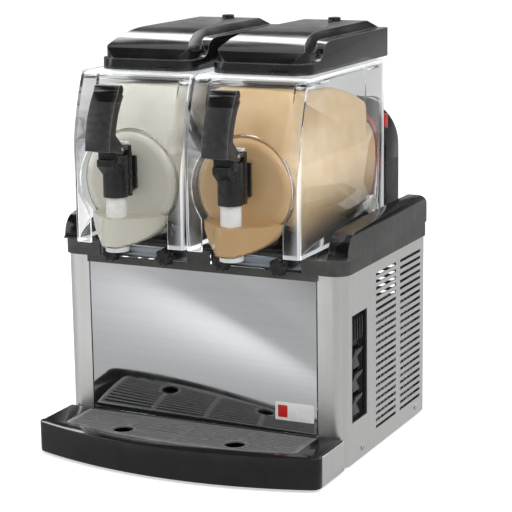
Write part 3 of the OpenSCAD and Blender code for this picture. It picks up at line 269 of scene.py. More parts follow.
class Graph:
    """Adds nodes to a tree and wires their inputs."""

    def __init__(self, tree: bpy.types.NodeTree) -> None:
        """Keeps the tree that the nodes go into."""
        self.tree = tree

    def add(self, kind: str, inputs: dict | None = None, **settings: object) -> bpy.types.Node:
        """Adds one node.

        Args:
            kind: Blender's name of the node type.
            inputs: Values or sockets for its inputs, by name or number.
            **settings: Properties of the node.

        Returns:
            The new node.
        """
        made = self.tree.nodes.new(kind)
        for key, value in settings.items():
            setattr(made, key, value)
        for key, value in (inputs or {}).items():
            if isinstance(value, bpy.types.NodeSocket):
                self.tree.links.new(value, made.inputs[key])
            else:
                made.inputs[key].default_value = value
        return made

    def math(self, operation: str, *values: object, clamp: bool = False) -> bpy.types.NodeSocket:
        """Adds a Math node and returns its result."""
        made = self.add("ShaderNodeMath", dict(enumerate(values)), operation=operation, use_clamp=clamp)
        return made.outputs[0]

    def blend(self, share: object, first: object, second: object) -> bpy.types.NodeSocket:
        """Mixes two colours and returns the result."""
        made = self.add("ShaderNodeMix", {0: share, 6: first, 7: second}, data_type="RGBA")
        return made.outputs[2]

    def ramp(self, value: object, low: object, high: object, to_low: object,
             to_high: object, smooth: bool = False) -> bpy.types.NodeSocket:
        """Carries a value from one range to another, clamped.

        Args:
            value: The value.
            low: Where the first range starts.
            high: Where it ends.
            to_low: Result at the start.
            to_high: Result at the end.
            smooth: Whether the ends are eased.

        Returns:
            The result.
        """
        made = self.add("ShaderNodeMapRange", {0: value, 1: low, 2: high, 3: to_low, 4: to_high},
                        interpolation_type="SMOOTHSTEP" if smooth else "LINEAR")
        return made.outputs[0]

    def band(self, value: object, rise: tuple[float, float],
             fall: tuple[float, float]) -> bpy.types.NodeSocket:
        """Marks the values between two eased ramps.

        Args:
            value: The value.
            rise: Where the mask starts to rise and where it is full.
            fall: Where it starts to fall and where it is empty.

        Returns:
            The mask.
        """
        return self.math("MULTIPLY", self.ramp(value, *rise, 0.0, 1.0, smooth=True),
                         self.ramp(value, *fall, 1.0, 0.0, smooth=True))

    def facing(self) -> bpy.types.Node:
        """Splits the surface's normal into X, Y and Z and returns the node."""
        return self.add("ShaderNodeSeparateXYZ", {0: self.add("ShaderNodeNewGeometry").outputs["Normal"]})

    def effect(self, group: bpy.types.NodeTree, **inputs: object) -> bpy.types.Node:
        """Places a shared effect with its own values and returns its node."""
        return self.add("ShaderNodeGroup", inputs, node_tree=group)


class EffectGroups:
    """Shared effects, each built once as a shader node group."""

    def __init__(self) -> None:
        """Builds every group."""
        self.grain = self._grain()
        self.brush = self._brush()
        self.edges = self._edges()
        self.marks = self._marks()

    @staticmethod
    def _open(name: str, inputs: dict[str, tuple[str, object]], outputs: list[str]) -> tuple:
        """Makes an empty group with named sockets.

        Args:
            name: Name of the group.
            inputs: Socket type and default value of each input.
            outputs: Names of the value outputs.

        Returns:
            The group, its Graph, its input node and its output node.
        """
        tree = bpy.data.node_groups.new(name, "ShaderNodeTree")
        for label, (kind, value) in inputs.items():
            socket = tree.interface.new_socket(label, in_out="INPUT", socket_type=kind)
            if value is not None:
                socket.default_value = value
        for label in outputs:
            tree.interface.new_socket(label, in_out="OUTPUT", socket_type="NodeSocketFloat")
        graph = Graph(tree)
        return tree, graph, graph.add("NodeGroupInput"), graph.add("NodeGroupOutput")

    def _grain(self) -> bpy.types.NodeTree:
        """Rounded cells over fine noise: the sparkle of moulded and cast skins.

        Returns:
            The group, which puts out the grain's height and a wide mask.
        """
        tree, g, start, end = self._open(
            "skin_grain", {"Vector": ("NodeSocketVector", None), "Size": ("NodeSocketFloat", 0.001)},
            ["Height", "Mask"])
        scale = g.math("DIVIDE", 1.0, start.outputs["Size"])
        noise = g.add("ShaderNodeTexNoise", {"Vector": start.outputs["Vector"], "Scale": scale,
                                             "Detail": 3.0, "Roughness": 0.6})
        cells = g.add("ShaderNodeTexVoronoi", {"Vector": start.outputs["Vector"], "Scale": scale},
                      feature="SMOOTH_F1")
        high = g.math("MULTIPLY_ADD", cells.outputs["Distance"], 0.6, noise.outputs["Fac"])
        wide = g.add("ShaderNodeTexNoise", {"Vector": start.outputs["Vector"],
                                            "Scale": g.math("MULTIPLY", scale, 0.08), "Detail": 4.0})
        g.tree.links.new(high, end.inputs["Height"])
        g.tree.links.new(g.ramp(wide.outputs["Fac"], 0.3, 0.7, 0.0, 1.0), end.inputs["Mask"])
        return tree

    def _brush(self) -> bpy.types.NodeTree:
        """Noise squeezed along the rolling direction: the lines of brushed metal.

        Returns:
            The group, which puts out the lines' height and a mask.
        """
        tree, g, start, end = self._open(
            "brush_lines", {"Vector": ("NodeSocketVector", None), "Size": ("NodeSocketFloat", 0.0005),
                            "Squeeze": ("NodeSocketVector", None)}, ["Height", "Mask"])
        squeezed = g.add("ShaderNodeVectorMath", {0: start.outputs["Vector"], 1: start.outputs["Squeeze"]},
                         operation="MULTIPLY")
        scale = g.math("DIVIDE", 1.0, start.outputs["Size"])
        fine = g.add("ShaderNodeTexNoise", {"Vector": squeezed.outputs[0], "Scale": scale, "Detail": 4.0,
                                            "Roughness": 0.7})
        wide = g.add("ShaderNodeTexNoise", {"Vector": squeezed.outputs[0],
                                            "Scale": g.math("MULTIPLY", scale, 0.1), "Detail": 2.0})
        g.tree.links.new(fine.outputs["Fac"], end.inputs["Height"])
        mixed = g.math("ADD", g.math("MULTIPLY", fine.outputs["Fac"], 0.5),
                       g.math("MULTIPLY", wide.outputs["Fac"], 0.5))
        g.tree.links.new(g.ramp(mixed, 0.35, 0.65, 0.0, 1.0), end.inputs["Mask"])
        return tree

    def _edges(self) -> bpy.types.NodeTree:
        """Bends of the surface, found where a rounded normal leaves the true one.

        Returns:
            The group, which puts out a mask of the edges, for wear and, on the lid, for a painted highlight.
        """
        tree, g, start, end = self._open(
            "edge_wear", {"Vector": ("NodeSocketVector", None), "Width": ("NodeSocketFloat", 0.001)},
            ["Mask"])
        rounded = g.add("ShaderNodeBevel", {"Radius": start.outputs["Width"]}, samples=4)
        true = g.add("ShaderNodeNewGeometry")
        same = g.add("ShaderNodeVectorMath", {0: rounded.outputs[0], 1: true.outputs["True Normal"]},
                     operation="DOT_PRODUCT")
        wear_and_highlight = g.ramp(same.outputs["Value"], 0.985, 0.86, 0.0, 1.0)
        rub = g.add("ShaderNodeTexNoise", {"Vector": start.outputs["Vector"], "Scale": 60.0, "Detail": 3.0})
        g.tree.links.new(g.math("MULTIPLY", wear_and_highlight, g.ramp(rub.outputs["Fac"], 0.25, 0.6, 0.55, 1.0)),
                         end.inputs["Mask"])
        return tree

    def _marks(self) -> bpy.types.NodeTree:
        """Wide soft smears for the roughness, and dust on faces that look up.

        Returns:
            The group, which puts out the smears and the dust.
        """
        tree, g, start, end = self._open(
            "handling_marks", {"Vector": ("NodeSocketVector", None), "Size": ("NodeSocketFloat", 0.04)},
            ["Smear", "Dust"])
        scale = g.math("DIVIDE", 1.0, start.outputs["Size"])
        wide = g.add("ShaderNodeTexNoise", {"Vector": start.outputs["Vector"], "Scale": scale, "Detail": 5.0,
                                            "Roughness": 0.55, "Distortion": 0.6})
        g.tree.links.new(g.ramp(wide.outputs["Fac"], 0.3, 0.7, 0.0, 1.0), end.inputs["Smear"])
        speck = g.add("ShaderNodeTexNoise", {"Vector": start.outputs["Vector"], "Scale": 900.0,
                                             "Detail": 2.0})
        g.tree.links.new(g.math("MULTIPLY", g.ramp(g.facing().outputs["Z"], 0.5, 1.0, 0.0, 1.0),
                                g.ramp(speck.outputs["Fac"], 0.45, 0.7, 0.0, 1.0)), end.inputs["Dust"])
        return tree


class Finisher:
    """Turns finishes into materials and puts them on pieces."""

    def __init__(self) -> None:
        """Builds the shared effects."""
        self.groups = EffectGroups()
        self.made: dict[str, bpy.types.Material] = {}

    def dress(self, piece: bpy.types.Object, finish: Finish | ClearFinish) -> None:
        """Gives every face of a piece one finish.

        Args:
            piece: The object to dress.
            finish: The finish it gets.
        """
        if finish.name not in self.made:
            build = self._clear if isinstance(finish, ClearFinish) else self._opaque
            self.made[finish.name] = build(finish)
        piece.data.materials.clear()
        piece.data.materials.append(self.made[finish.name])

    @staticmethod
    def _blank(name: str) -> tuple[bpy.types.Material, Graph, bpy.types.NodeSocket]:
        """Makes an empty material.

        Args:
            name: Name of the material.

        Returns:
            The material, its Graph and its Object coordinates.
        """
        material = bpy.data.materials.new(name)
        material.use_nodes = True
        material.node_tree.nodes.clear()
        graph = Graph(material.node_tree)
        return material, graph, graph.add("ShaderNodeTexCoord").outputs["Object"]

    def _opaque(self, f: Finish) -> bpy.types.Material:
        """Builds an opaque material: grain, smears, edge wear (on the lid a painted highlight), dust and what
        else the finish names.

        Args:
            f: The finish.

        Returns:
            The material.
        """
        material, g, where = self._blank(f.name)
        if f.grain is Grain.BRUSHED:
            skin = g.effect(self.groups.brush, Vector=where, Size=f.grain_size, Squeeze=f.stretch)
        else:
            skin = g.effect(self.groups.grain, Vector=where, Size=f.grain_size)
        marks = g.effect(self.groups.marks, Vector=where, Size=SMEAR_SIZE)
        colour = g.blend(skin.outputs["Mask"], (*f.dark, 1.0), (*f.light, 1.0))
        rough = g.ramp(marks.outputs["Smear"], 0.0, 1.0, *f.rough)
        # Second colour; on the drinks it is painted shade towards the front.
        if f.zone is not None:
            past = self._past(g, f.zone, where)
            colour = g.blend(past, colour, (*f.zone.colour, 1.0))
            zoned = g.math("MULTIPLY_ADD", marks.outputs["Smear"], 0.06, f.zone.roughness)
            rough = g.math("ADD", g.math("MULTIPLY", g.math("SUBTRACT", 1.0, past), rough),
                           g.math("MULTIPLY", past, zoned))
        # Edge colour: wear, and on the lid a painted highlight.
        if f.edge_share_of_wear_and_highlight > 0:
            wear_and_highlight = g.effect(self.groups.edges, Vector=where, Width=WEAR_WIDTH)
            colour = g.blend(g.math("MULTIPLY", wear_and_highlight.outputs["Mask"], f.edge_share_of_wear_and_highlight), colour, (*f.edge, 1.0))
        # Painted highlight: a pale line on the upper bends.
        if f.line > 0:
            colour = g.blend(self._painted_highlight_line(g, f.line), colour, PAINTED_HIGHLIGHT_TINT)
        if f.dust > 0:
            colour = g.blend(g.math("MULTIPLY", marks.outputs["Dust"], f.dust), colour, DUST_TINT)
        glow = colour
        if f.glow > 0:
            colour, glow = self._lit_floor(g, f, where, colour)
        bump = g.add("ShaderNodeBump", {"Height": skin.outputs["Height"], "Strength": 1.0,
                                        "Distance": f.bump})
        shader = g.add("ShaderNodeBsdfPrincipled", {
            "Base Color": colour, "Roughness": rough, "Metallic": f.metallic, "Normal": bump.outputs[0],
            "Coat Weight": f.coat, "Coat Roughness": 0.05, "Sheen Weight": f.sheen,
            "Specular IOR Level": f.specular, "Emission Color": glow, "Emission Strength": f.glow,
            "Subsurface Weight": f.sub, "Subsurface Radius": (0.004, 0.003, 0.002), "Subsurface Scale": 1.0})
        g.add("ShaderNodeOutputMaterial", {"Surface": shader.outputs[0]})
        return material

    @staticmethod
    def _past(g: Graph, zone: Zone, where: bpy.types.NodeSocket) -> bpy.types.NodeSocket:
        """Finds where a zone's second colour lies.

        Args:
            g: Graph of the material.
            zone: The zone.
            where: Object coordinates.

        Returns:
            A mask.
        """
        place = g.add("ShaderNodeSeparateXYZ", {0: where}).outputs[zone.axis]
        past = g.ramp(place, zone.start, zone.end, 0.0, 1.0)
        if zone.spares_sides:
            aside = g.math("ABSOLUTE", g.facing().outputs["X"])
            past = g.math("MULTIPLY", past, g.ramp(aside, 0.97, 0.90, 0.0, 1.0))
        return past

    @staticmethod
    def _painted_highlight_line(g: Graph, strength: float) -> bpy.types.NodeSocket:
        """Finds the upper bends that get a painted highlight line.

        They still look mostly up, and lean part of the way to one side or to the front.

        Args:
            g: Graph of the material.
            strength: Brightness of the line.

        Returns:
            A mask.
        """
        bend = g.facing()
        line = g.band(g.math("ABSOLUTE", bend.outputs["X"]), (0.16, 0.26), (0.56, 0.68))
        ridge = g.band(bend.outputs["Y"], (-0.20, -0.27), (-0.34, -0.41))
        upward = g.ramp(bend.outputs["Z"], 0.70, 0.78, 0.0, strength)
        return g.math("MULTIPLY", g.math("MAXIMUM", line, ridge), upward)

    @staticmethod
    def _lit_floor(g: Graph, f: Finish, where: bpy.types.NodeSocket,
                   colour: bpy.types.NodeSocket) -> tuple[bpy.types.NodeSocket, bpy.types.NodeSocket]:
        """Keeps a glowing floor's colour for the camera and gives mirrors a grey one with a painted pool of
        light.

        Args:
            g: Graph of the material.
            f: The finish.
            where: Object coordinates.
            colour: Colour that the camera sees.

        Returns:
            The base colour and the colour of the glow.
        """
        direct = g.add("ShaderNodeLightPath").outputs["Is Camera Ray"]
        spot = g.add("ShaderNodeVectorMath", {0: where, 1: f.pool}, operation="DISTANCE").outputs["Value"]
        # Painted pool of light in the glow that mirrors see.
        pool = g.ramp(spot, 0.05, 0.75, 1.0, 0.0, smooth=True)
        glow = g.blend(direct, g.blend(pool, FLOOR_MIRRORED, FLOOR_PAINTED_POOL), colour)
        return g.blend(direct, FLOOR_UNSEEN, colour), glow

    def _clear(self, f: ClearFinish) -> bpy.types.Material:
        """Builds a clear material that lets lamp light straight through.

        Args:
            f: The finish.

        Returns:
            The material.
        """
        material, g, where = self._blank(f.name)
        marks = g.effect(self.groups.marks, Vector=where, Size=CLEAR_SMEAR_SIZE)
        path = g.add("ShaderNodeLightPath")
        lit = g.math("MAXIMUM", path.outputs["Is Shadow Ray"], path.outputs["Is Diffuse Ray"])
        rim = self._rims(g, f, where)
        rough = g.ramp(marks.outputs["Smear"], 0.0, 1.0, *f.rough)
        shader = g.add("ShaderNodeBsdfPrincipled", {
            # Corners and rims: a paler tint, more roughness and a painted glow.
            "Base Color": g.blend(rim, (*f.tint, 1.0), RIM_TINT),
            "Roughness": g.math("MULTIPLY_ADD", rim, 0.35, rough),
            "Metallic": 0.0, "Transmission Weight": 1.0, "IOR": f.ior,
            "Emission Color": g.blend(rim, (0.0, 0.0, 0.0, 1.0), RIM_PAINTED_GLOW),
            "Emission Strength": f.painted_rim_glow,
            "Alpha": g.math("MULTIPLY_ADD", lit, -0.93, 1.0)})
        g.add("ShaderNodeOutputMaterial", {"Surface": shader.outputs[0]})
        return material

    @staticmethod
    def _rims(g: Graph, f: ClearFinish, where: bpy.types.NodeSocket) -> object:
        """Finds the places of a clear moulding that get a painted glow and a paler tint.

        They are its upright corners, where the normal has a part along X and along Y, and its rims.

        Args:
            g: Graph of the material.
            f: The finish.
            where: Object coordinates.

        Returns:
            A mask, or 0 when the finish has no rims.
        """
        if not f.rims:
            return 0.0
        normal = g.facing()
        across = g.math("ABSOLUTE", g.math("MULTIPLY", normal.outputs["X"], normal.outputs["Y"]))
        mask = g.ramp(across, 0.14, 0.42, 0.0, 0.8, smooth=True)
        place = g.add("ShaderNodeSeparateXYZ", {0: where})
        for axis, start, end in f.rims:
            mask = g.math("MAXIMUM", mask, g.ramp(place.outputs[axis], start, end, 0.0, 0.6))
        return mask


# ---------------------------------------------------------------- shapes


class Shapes:
    """Surfaces from arrays, and soft-edged copies of the frame's own pieces.

    Attributes:
        SMOOTH_TO: Largest bend, in degrees, that is shaded smooth on a new surface.
        MERGED: Distance within which a copy's points become one.
        FLAT: Largest bend, in degrees, across which a copy's faces become one.
    """

    SMOOTH_TO = 35.0
    MERGED = 2e-6
    FLAT = 0.4

    @staticmethod
    def grid(name: str, rows: np.ndarray, ring_rows: bool = False,
             cap_ends: bool = False) -> bpy.types.Object:
        """Makes a closed surface from a grid of points whose columns run round.

        The point at row i and column j joins the ones at i + 1 and j + 1 in a four-sided face.
        Columns always close on themselves. Rows close too with ring_rows, or end in a fan on
        the mean point of the first and last row with cap_ends. Faces turn outwards by the sign
        of the enclosed volume.

        Args:
            name: Name of the piece.
            rows: Points, as rows x columns x 3.
            ring_rows: Whether the last row joins the first.
            cap_ends: Whether both ends are closed by a fan.

        Returns:
            The new object, at the origin.
        """
        n_rows, n_cols = rows.shape[:2]
        points = rows.reshape(-1, 3)
        i = np.arange(n_rows if ring_rows else n_rows - 1)[:, None]
        j = np.arange(n_cols)[None, :]
        here, there = i * n_cols, (i + 1) % n_rows * n_cols
        quads = np.stack(np.broadcast_arrays(here + j, here + (j + 1) % n_cols,
                                             there + (j + 1) % n_cols, there + j), -1).reshape(-1, 4)
        fans = np.zeros((0, 3), int)
        if cap_ends:
            points = np.vstack([points, rows[0].mean(0), rows[-1].mean(0)])
            ring, start, last = np.arange(n_cols), n_rows * n_cols, (n_rows - 1) * n_cols
            first = np.stack([np.roll(ring, -1), ring, np.full(n_cols, start)], -1)
            end = np.stack([last + ring, last + np.roll(ring, -1), np.full(n_cols, start + 1)], -1)
            fans = np.vstack([first, end])
        halves = np.vstack([quads[:, [0, 1, 2]], quads[:, [0, 2, 3]], fans])
        a, b, c = (points[halves[:, k]] for k in range(3))
        if np.einsum("ij,ij->i", a, np.cross(b, c)).sum() < 0:
            quads, fans = quads[:, ::-1], fans[:, ::-1]
        mesh = bpy.data.meshes.new(name)
        mesh.from_pydata(points.tolist(), [], quads.tolist() + fans.tolist())
        return Shapes.smooth(name, mesh, Shapes.SMOOTH_TO)

    @staticmethod
    def smooth(name: str, mesh: bpy.types.Mesh, angle: float) -> bpy.types.Object:
        """Shades a mesh smooth and puts it in the scene.

        Args:
            name: Name of the piece.
            mesh: Its mesh.
            angle: Largest bend, in degrees, that is shaded smooth.

        Returns:
            The new object, at the origin.
        """
        mesh.polygons.foreach_set("use_smooth", np.ones(len(mesh.polygons), bool))
        mesh.set_sharp_from_angle(angle=math.radians(angle))
        piece = bpy.data.objects.new(name, mesh)
        bpy.context.scene.collection.objects.link(piece)
        return piece

    @staticmethod
    def turned(name: str, profile: np.ndarray, centre: Vector, axis: int, sign: float = 1.0, lobes: int = 0,
               depth: float = 0.0, steps: int = 96) -> bpy.types.Object:
        """Turns a profile round an axis, with optional lobes.

        A point at profile radius r and distance h lies at angle t from the axis at radius
        r * (1 - depth * (1 - cos(lobes * t)) / 2) and distance sign * h along it.

        Args:
            name: Name of the piece.
            profile: Radius and distance along the axis, one row for each ring.
            centre: Where distance 0 is.
            axis: 0, 1 or 2 for X, Y or Z.
            sign: 1 or -1, for the way along the axis.
            lobes: Number of lobes round the axis.
            depth: How deep the valleys are, as a share of the radius.
            steps: Points round each ring.

        Returns:
            The new object.
        """
        t = np.linspace(0, 2 * np.pi, steps, endpoint=False)
        wave = 1 - depth * (1 - np.cos(lobes * t)) / 2
        radius = profile[:, :1] * wave[None, :]
        out = np.empty((len(profile), steps, 3))
        out[..., axis] = centre[axis] + sign * np.broadcast_to(profile[:, 1:2], radius.shape)
        one, two = (axis + 1) % 3, (axis + 2) % 3
        out[..., one] = centre[one] + radius * np.cos(t)
        out[..., two] = centre[two] + radius * np.sin(t)
        return Shapes.grid(name, out, cap_ends=True)

    @staticmethod
    def plate(name: str, low: Vector, high: Vector, radius: float, edge: float) -> bpy.types.Object:
        """A thin plate in the XZ plane whose outline has round corners and whose front edge is rounded.

        The outline is four quarter circles joined by straight sides, and each ring of the
        rounded edge is that outline drawn in by edge * (1 - cos(t)) and forward by edge * sin(t).

        Args:
            name: Name of the piece.
            low: Lowest corner.
            high: Highest corner; the front is at the low Y.
            radius: Corner radius.
            edge: Radius of the front edge.

        Returns:
            The new object.
        """
        t = np.linspace(0, np.pi / 2, 8)
        turns = np.concatenate([t + k * np.pi / 2 for k in range(4)])
        sign_x = np.repeat([1, -1, -1, 1], len(t))
        sign_z = np.repeat([1, 1, -1, -1], len(t))
        middle = (low + high) / 2
        half_x, half_z = (high.x - low.x) / 2 - radius, (high.z - low.z) / 2 - radius
        bends = np.linspace(0, np.pi / 2, 5)
        inset = np.concatenate([[0.0], edge * (1 - np.cos(bends))])
        depth = np.concatenate([[high.y], low.y + edge - edge * np.sin(bends)])
        reach = radius - inset[:, None]
        x = middle.x + sign_x * half_x + reach * np.cos(turns)
        z = middle.z + sign_z * half_z + reach * np.sin(turns)
        points = np.stack([x, np.broadcast_to(depth[:, None], x.shape), z], -1)
        return Shapes.grid(name, points, cap_ends=True)

    @staticmethod
    def softened(node: str, width: float, segments: int = 2, corner: float = 40.0) -> bpy.types.Object:
        """Copies a frame node with its doubles merged, its flat areas joined and its edges rounded.

        Args:
            node: Name of the frame node.
            width: Width of the rounded edges, or 0 for none.
            segments: Steps across a rounded edge.
            corner: Smallest bend, in degrees, that counts as an edge.

        Returns:
            The new object, which still has to ride and to replace its node.
        """
        mesh = bpy.data.meshes.new(f"{node}.looks")
        work = bmesh.new()
        work.from_mesh(frame_nodes[node].data)
        bmesh.ops.remove_doubles(work, verts=work.verts, dist=Shapes.MERGED)
        bmesh.ops.dissolve_limit(work, angle_limit=math.radians(Shapes.FLAT), verts=work.verts,
                                 edges=work.edges)
        work.to_mesh(mesh)
        work.free()
        piece = Shapes.smooth(f"{node}_looks", mesh, corner if width <= 0 else 180.0)
        if width > 0:
            bevel = piece.modifiers.new("rounded_edges", "BEVEL")
            bevel.width, bevel.segments, bevel.limit_method = width, segments, "ANGLE"
            bevel.angle_limit, bevel.harden_normals = math.radians(corner), True
            bevel.miter_outer = "MITER_SHARP"
        return piece


# ---------------------------------------------------------------- sub-assemblies


@dataclass
class SubAssembly:
    """A group of pieces that are built and dressed together.

    Attributes:
        finisher: Turns finishes into materials.
        bodies: The body of each frame node.
    """

    finisher: Finisher
    bodies: dict[str, str]

    def keep(self, node: str, finish: Finish | ClearFinish) -> None:
        """Shows a frame node as it is, with a better finish."""
        self.finisher.dress(frame_nodes[node], finish)
        log.info("kept %s as %s", node, finish.name)

    def soften(self, node: str, finish: Finish | ClearFinish, slot: str, width_mm: float, segments: int = 2,
               corner: float = 40.0) -> bpy.types.Object:
        """Shows a soft-edged copy of a frame node instead of the node.

        Args:
            node: Name of the frame node.
            finish: Finish of the copy.
            slot: Material slot of the record that it stands for.
            width_mm: Width of its rounded edges in millimetres.
            segments: Steps across a rounded edge.
            corner: Smallest bend, in degrees, that counts as an edge.

        Returns:
            The copy.
        """
        piece = Shapes.softened(node, width_mm * MM, segments, corner)
        self.place(piece, finish, slot, self.bodies[node], node)
        return piece

    def place(self, piece: bpy.types.Object, finish: Finish | ClearFinish, slot: str, body: str,
              *stands_for: str) -> None:
        """Dresses a new piece, hangs it on a body and hides the nodes it stands for.

        Args:
            piece: The new piece.
            finish: Its finish.
            slot: Material slot of the record; not used.
            body: Body that it moves with.
            *stands_for: Frame nodes that it replaces.
        """
        self.finisher.dress(piece, finish)
        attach(piece, body)
        if stands_for:
            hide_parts(*stands_for)
        log.info("made %s in %s on %s", piece.name, finish.name, body)


@dataclass
class Cabinet(SubAssembly):
    """Steel box with its panels, feet, plates and the label on the splash panel.

    Attributes:
        label_size: Width and height of the label.
        label_from_right: Distance of the label from the splash panel's right edge.
        label_rise: Height of the label's lower edge over the splash panel's own.
        label_t: Thickness of the label.
        label_corner: Radius of its corners.
        label_edge: Radius of its front edge.
        patch_inset: Distance of the patch from the label's edges.
        patch_share: Width of the patch as a share of the label's height.
        patch_t: How far the patch stands out.
        patch_corner: Radius of its corners.
        patch_edge: Radius of its front edge.
    """

    label_size: tuple[float, float] = (0.054, 0.024)
    label_from_right: float = 0.004
    label_rise: float = 0.016
    label_t: float = 0.0004
    label_corner: float = 0.0015
    label_edge: float = 0.0002
    patch_inset: float = 0.004
    patch_share: float = 0.55
    patch_t: float = 0.0002
    patch_corner: float = 0.001
    patch_edge: float = 0.0001

    def build(self) -> None:
        """Builds and dresses the cabinet."""
        for node in ("base_pan", "rear_panel"):
            self.keep(node, GALVANISED)
        self.keep("feet", RUBBER)
        for side in Side:
            self.soften(f"{side.value}_side_panel", BRUSHED, "brushed_steel", 0.0)
        self.soften("splash_panel", POLISHED, "polished_steel", 0.4)
        self.soften("tray_brackets", BRUSHED, "brushed_steel", 0.6)
        self.soften("panel_screws", SCREW, "screw_steel", 0.4)
        self.soften("mains_inlet", SATIN_BLACK, "satin_black", 0.5)
        self._label()

    def _label(self) -> None:
        """Makes the blank label and its plain coloured patch."""
        low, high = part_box("splash_panel")
        wide, tall = self.label_size
        x1, z0 = high.x - self.label_from_right, low.z + self.label_rise
        x0, z1 = x1 - wide, z0 + tall
        front = low.y - self.label_t
        card = Shapes.plate("label_card", Vector((x0, front, z0)), Vector((x1, low.y, z1)),
                            self.label_corner, self.label_edge)
        self.place(card, LABEL_WHITE, "white_plastic", "cabinet")
        inset = self.patch_inset
        patch_x1 = x0 + inset + tall * self.patch_share
        patch = Shapes.plate("label_patch", Vector((x0 + inset, front - self.patch_t, z0 + inset)),
                             Vector((patch_x1, front + self.patch_edge, z1 - inset)),
                             self.patch_corner, self.patch_edge)
        self.place(patch, LABEL_RED, "red_plastic", "cabinet")


@dataclass
class TopHousing(SubAssembly):
    """Black band, wings, tower and the steel plates in the band's recesses.

    Attributes:
        star_lobes: Lobes of a star knob.
        star_valley: Depth of the valleys between them, as a share of the radius.
        star_steps: Points round each ring of a star knob.
        star_bend: Radius of its rounded rim.
    """

    star_lobes: int = 7
    star_valley: float = 0.2
    star_steps: int = 168
    star_bend: float = 0.0024

    def build(self) -> None:
        """Builds and dresses the top housing."""
        self.soften("top_housing", HOUSING, "satin_black", 1.4, 3)
        self.soften("motor_tower", TOWER, "gloss_black", 1.6, 3)
        self.soften("clamp_plates", PLATE_STEEL, "brushed_steel", 0.3)
        for side in Side:
            self.soften(f"{side.value}_catch", RED_PLASTIC, "red_plastic", 1.0, 3)
            for place in ("outer", "inner"):
                self._star_knob(f"{side.value}_star_knob_{place}")

    def _star_knob(self, node: str) -> None:
        """Makes a lobed knob over a frame node.

        The profile is a thin neck at the plate, a step out to the full radius near the middle of
        the length, a quarter circle at the rim and a shallow dish in the end.

        Args:
            node: Frame node of the knob.
        """
        low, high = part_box(node)
        centre = (low + high) / 2
        length, radius = high.y - low.y, (high.x - low.x) / 2
        t = np.linspace(0, np.pi / 2, 7)
        bend = self.star_bend
        rim = np.stack([radius - bend + bend * np.cos(t), length - bend + bend * np.sin(t)], -1)
        neck = [[0.40 * radius, 0.0], [0.40 * radius, 0.42 * length]]
        step = [[0.92 * radius, 0.46 * length], [radius, 0.52 * length]]
        dish = [[0.55 * radius, length], [0.5 * radius, length - 0.0012], [0.1 * radius, length - 0.0014]]
        piece = Shapes.turned(f"{node}_grip", np.vstack([neck, step, rim, dish]),
                              Vector((centre.x, high.y, centre.z)), 1, -1.0, self.star_lobes,
                              self.star_valley, self.star_steps)
        self.place(piece, SATIN_BLACK, "satin_black", self.bodies[node], node)


@dataclass
class DripTray(SubAssembly):
    """Drip tray and the slotted grille in it."""

    def build(self) -> None:
        """Builds and dresses the tray."""
        self.soften("drip_tray", TRAY_BLACK, "gloss_black", 2.0, 3)
        self.soften("drip_grille", GRILLE_GREY, "grille_grey", 0.4, 1)


@dataclass
class Controls(SubAssembly):
    """Switch plate with three rockers."""

    def build(self) -> None:
        """Builds and dresses the controls."""
        self.soften("switch_plate", SATIN_BLACK, "satin_black", 0.6)
        for node in ("power_rocker", "left_mix_rocker", "right_mix_rocker"):
            self.soften(node, TRAY_BLACK, "gloss_black", 1.0, 3)


@dataclass
class Machinery(SubAssembly):
    """Cooling circuit, fan and drives inside the cabinet."""

    looks: dict[str, Finish] = field(default_factory=lambda: {
        "compressor": ENAMEL, "condenser": ALUMINIUM, "fan_shroud": GREY_PLASTIC, "fan_motor": CAST_ALLOY,
        "fan_blade": GREY_PLASTIC, "control_box": GREY_PLASTIC, "left_evaporator": DRUM_STEEL,
        "right_evaporator": DRUM_STEEL, "left_gear_motor": CAST_ALLOY, "right_gear_motor": CAST_ALLOY,
        "left_drive_shaft": SCREW, "right_drive_shaft": SCREW, "left_auger": WHITE_PLASTIC,
        "right_auger": WHITE_PLASTIC})

    def build(self) -> None:
        """Dresses the inner pieces."""
        for node, finish in self.looks.items():
            self.keep(node, finish)


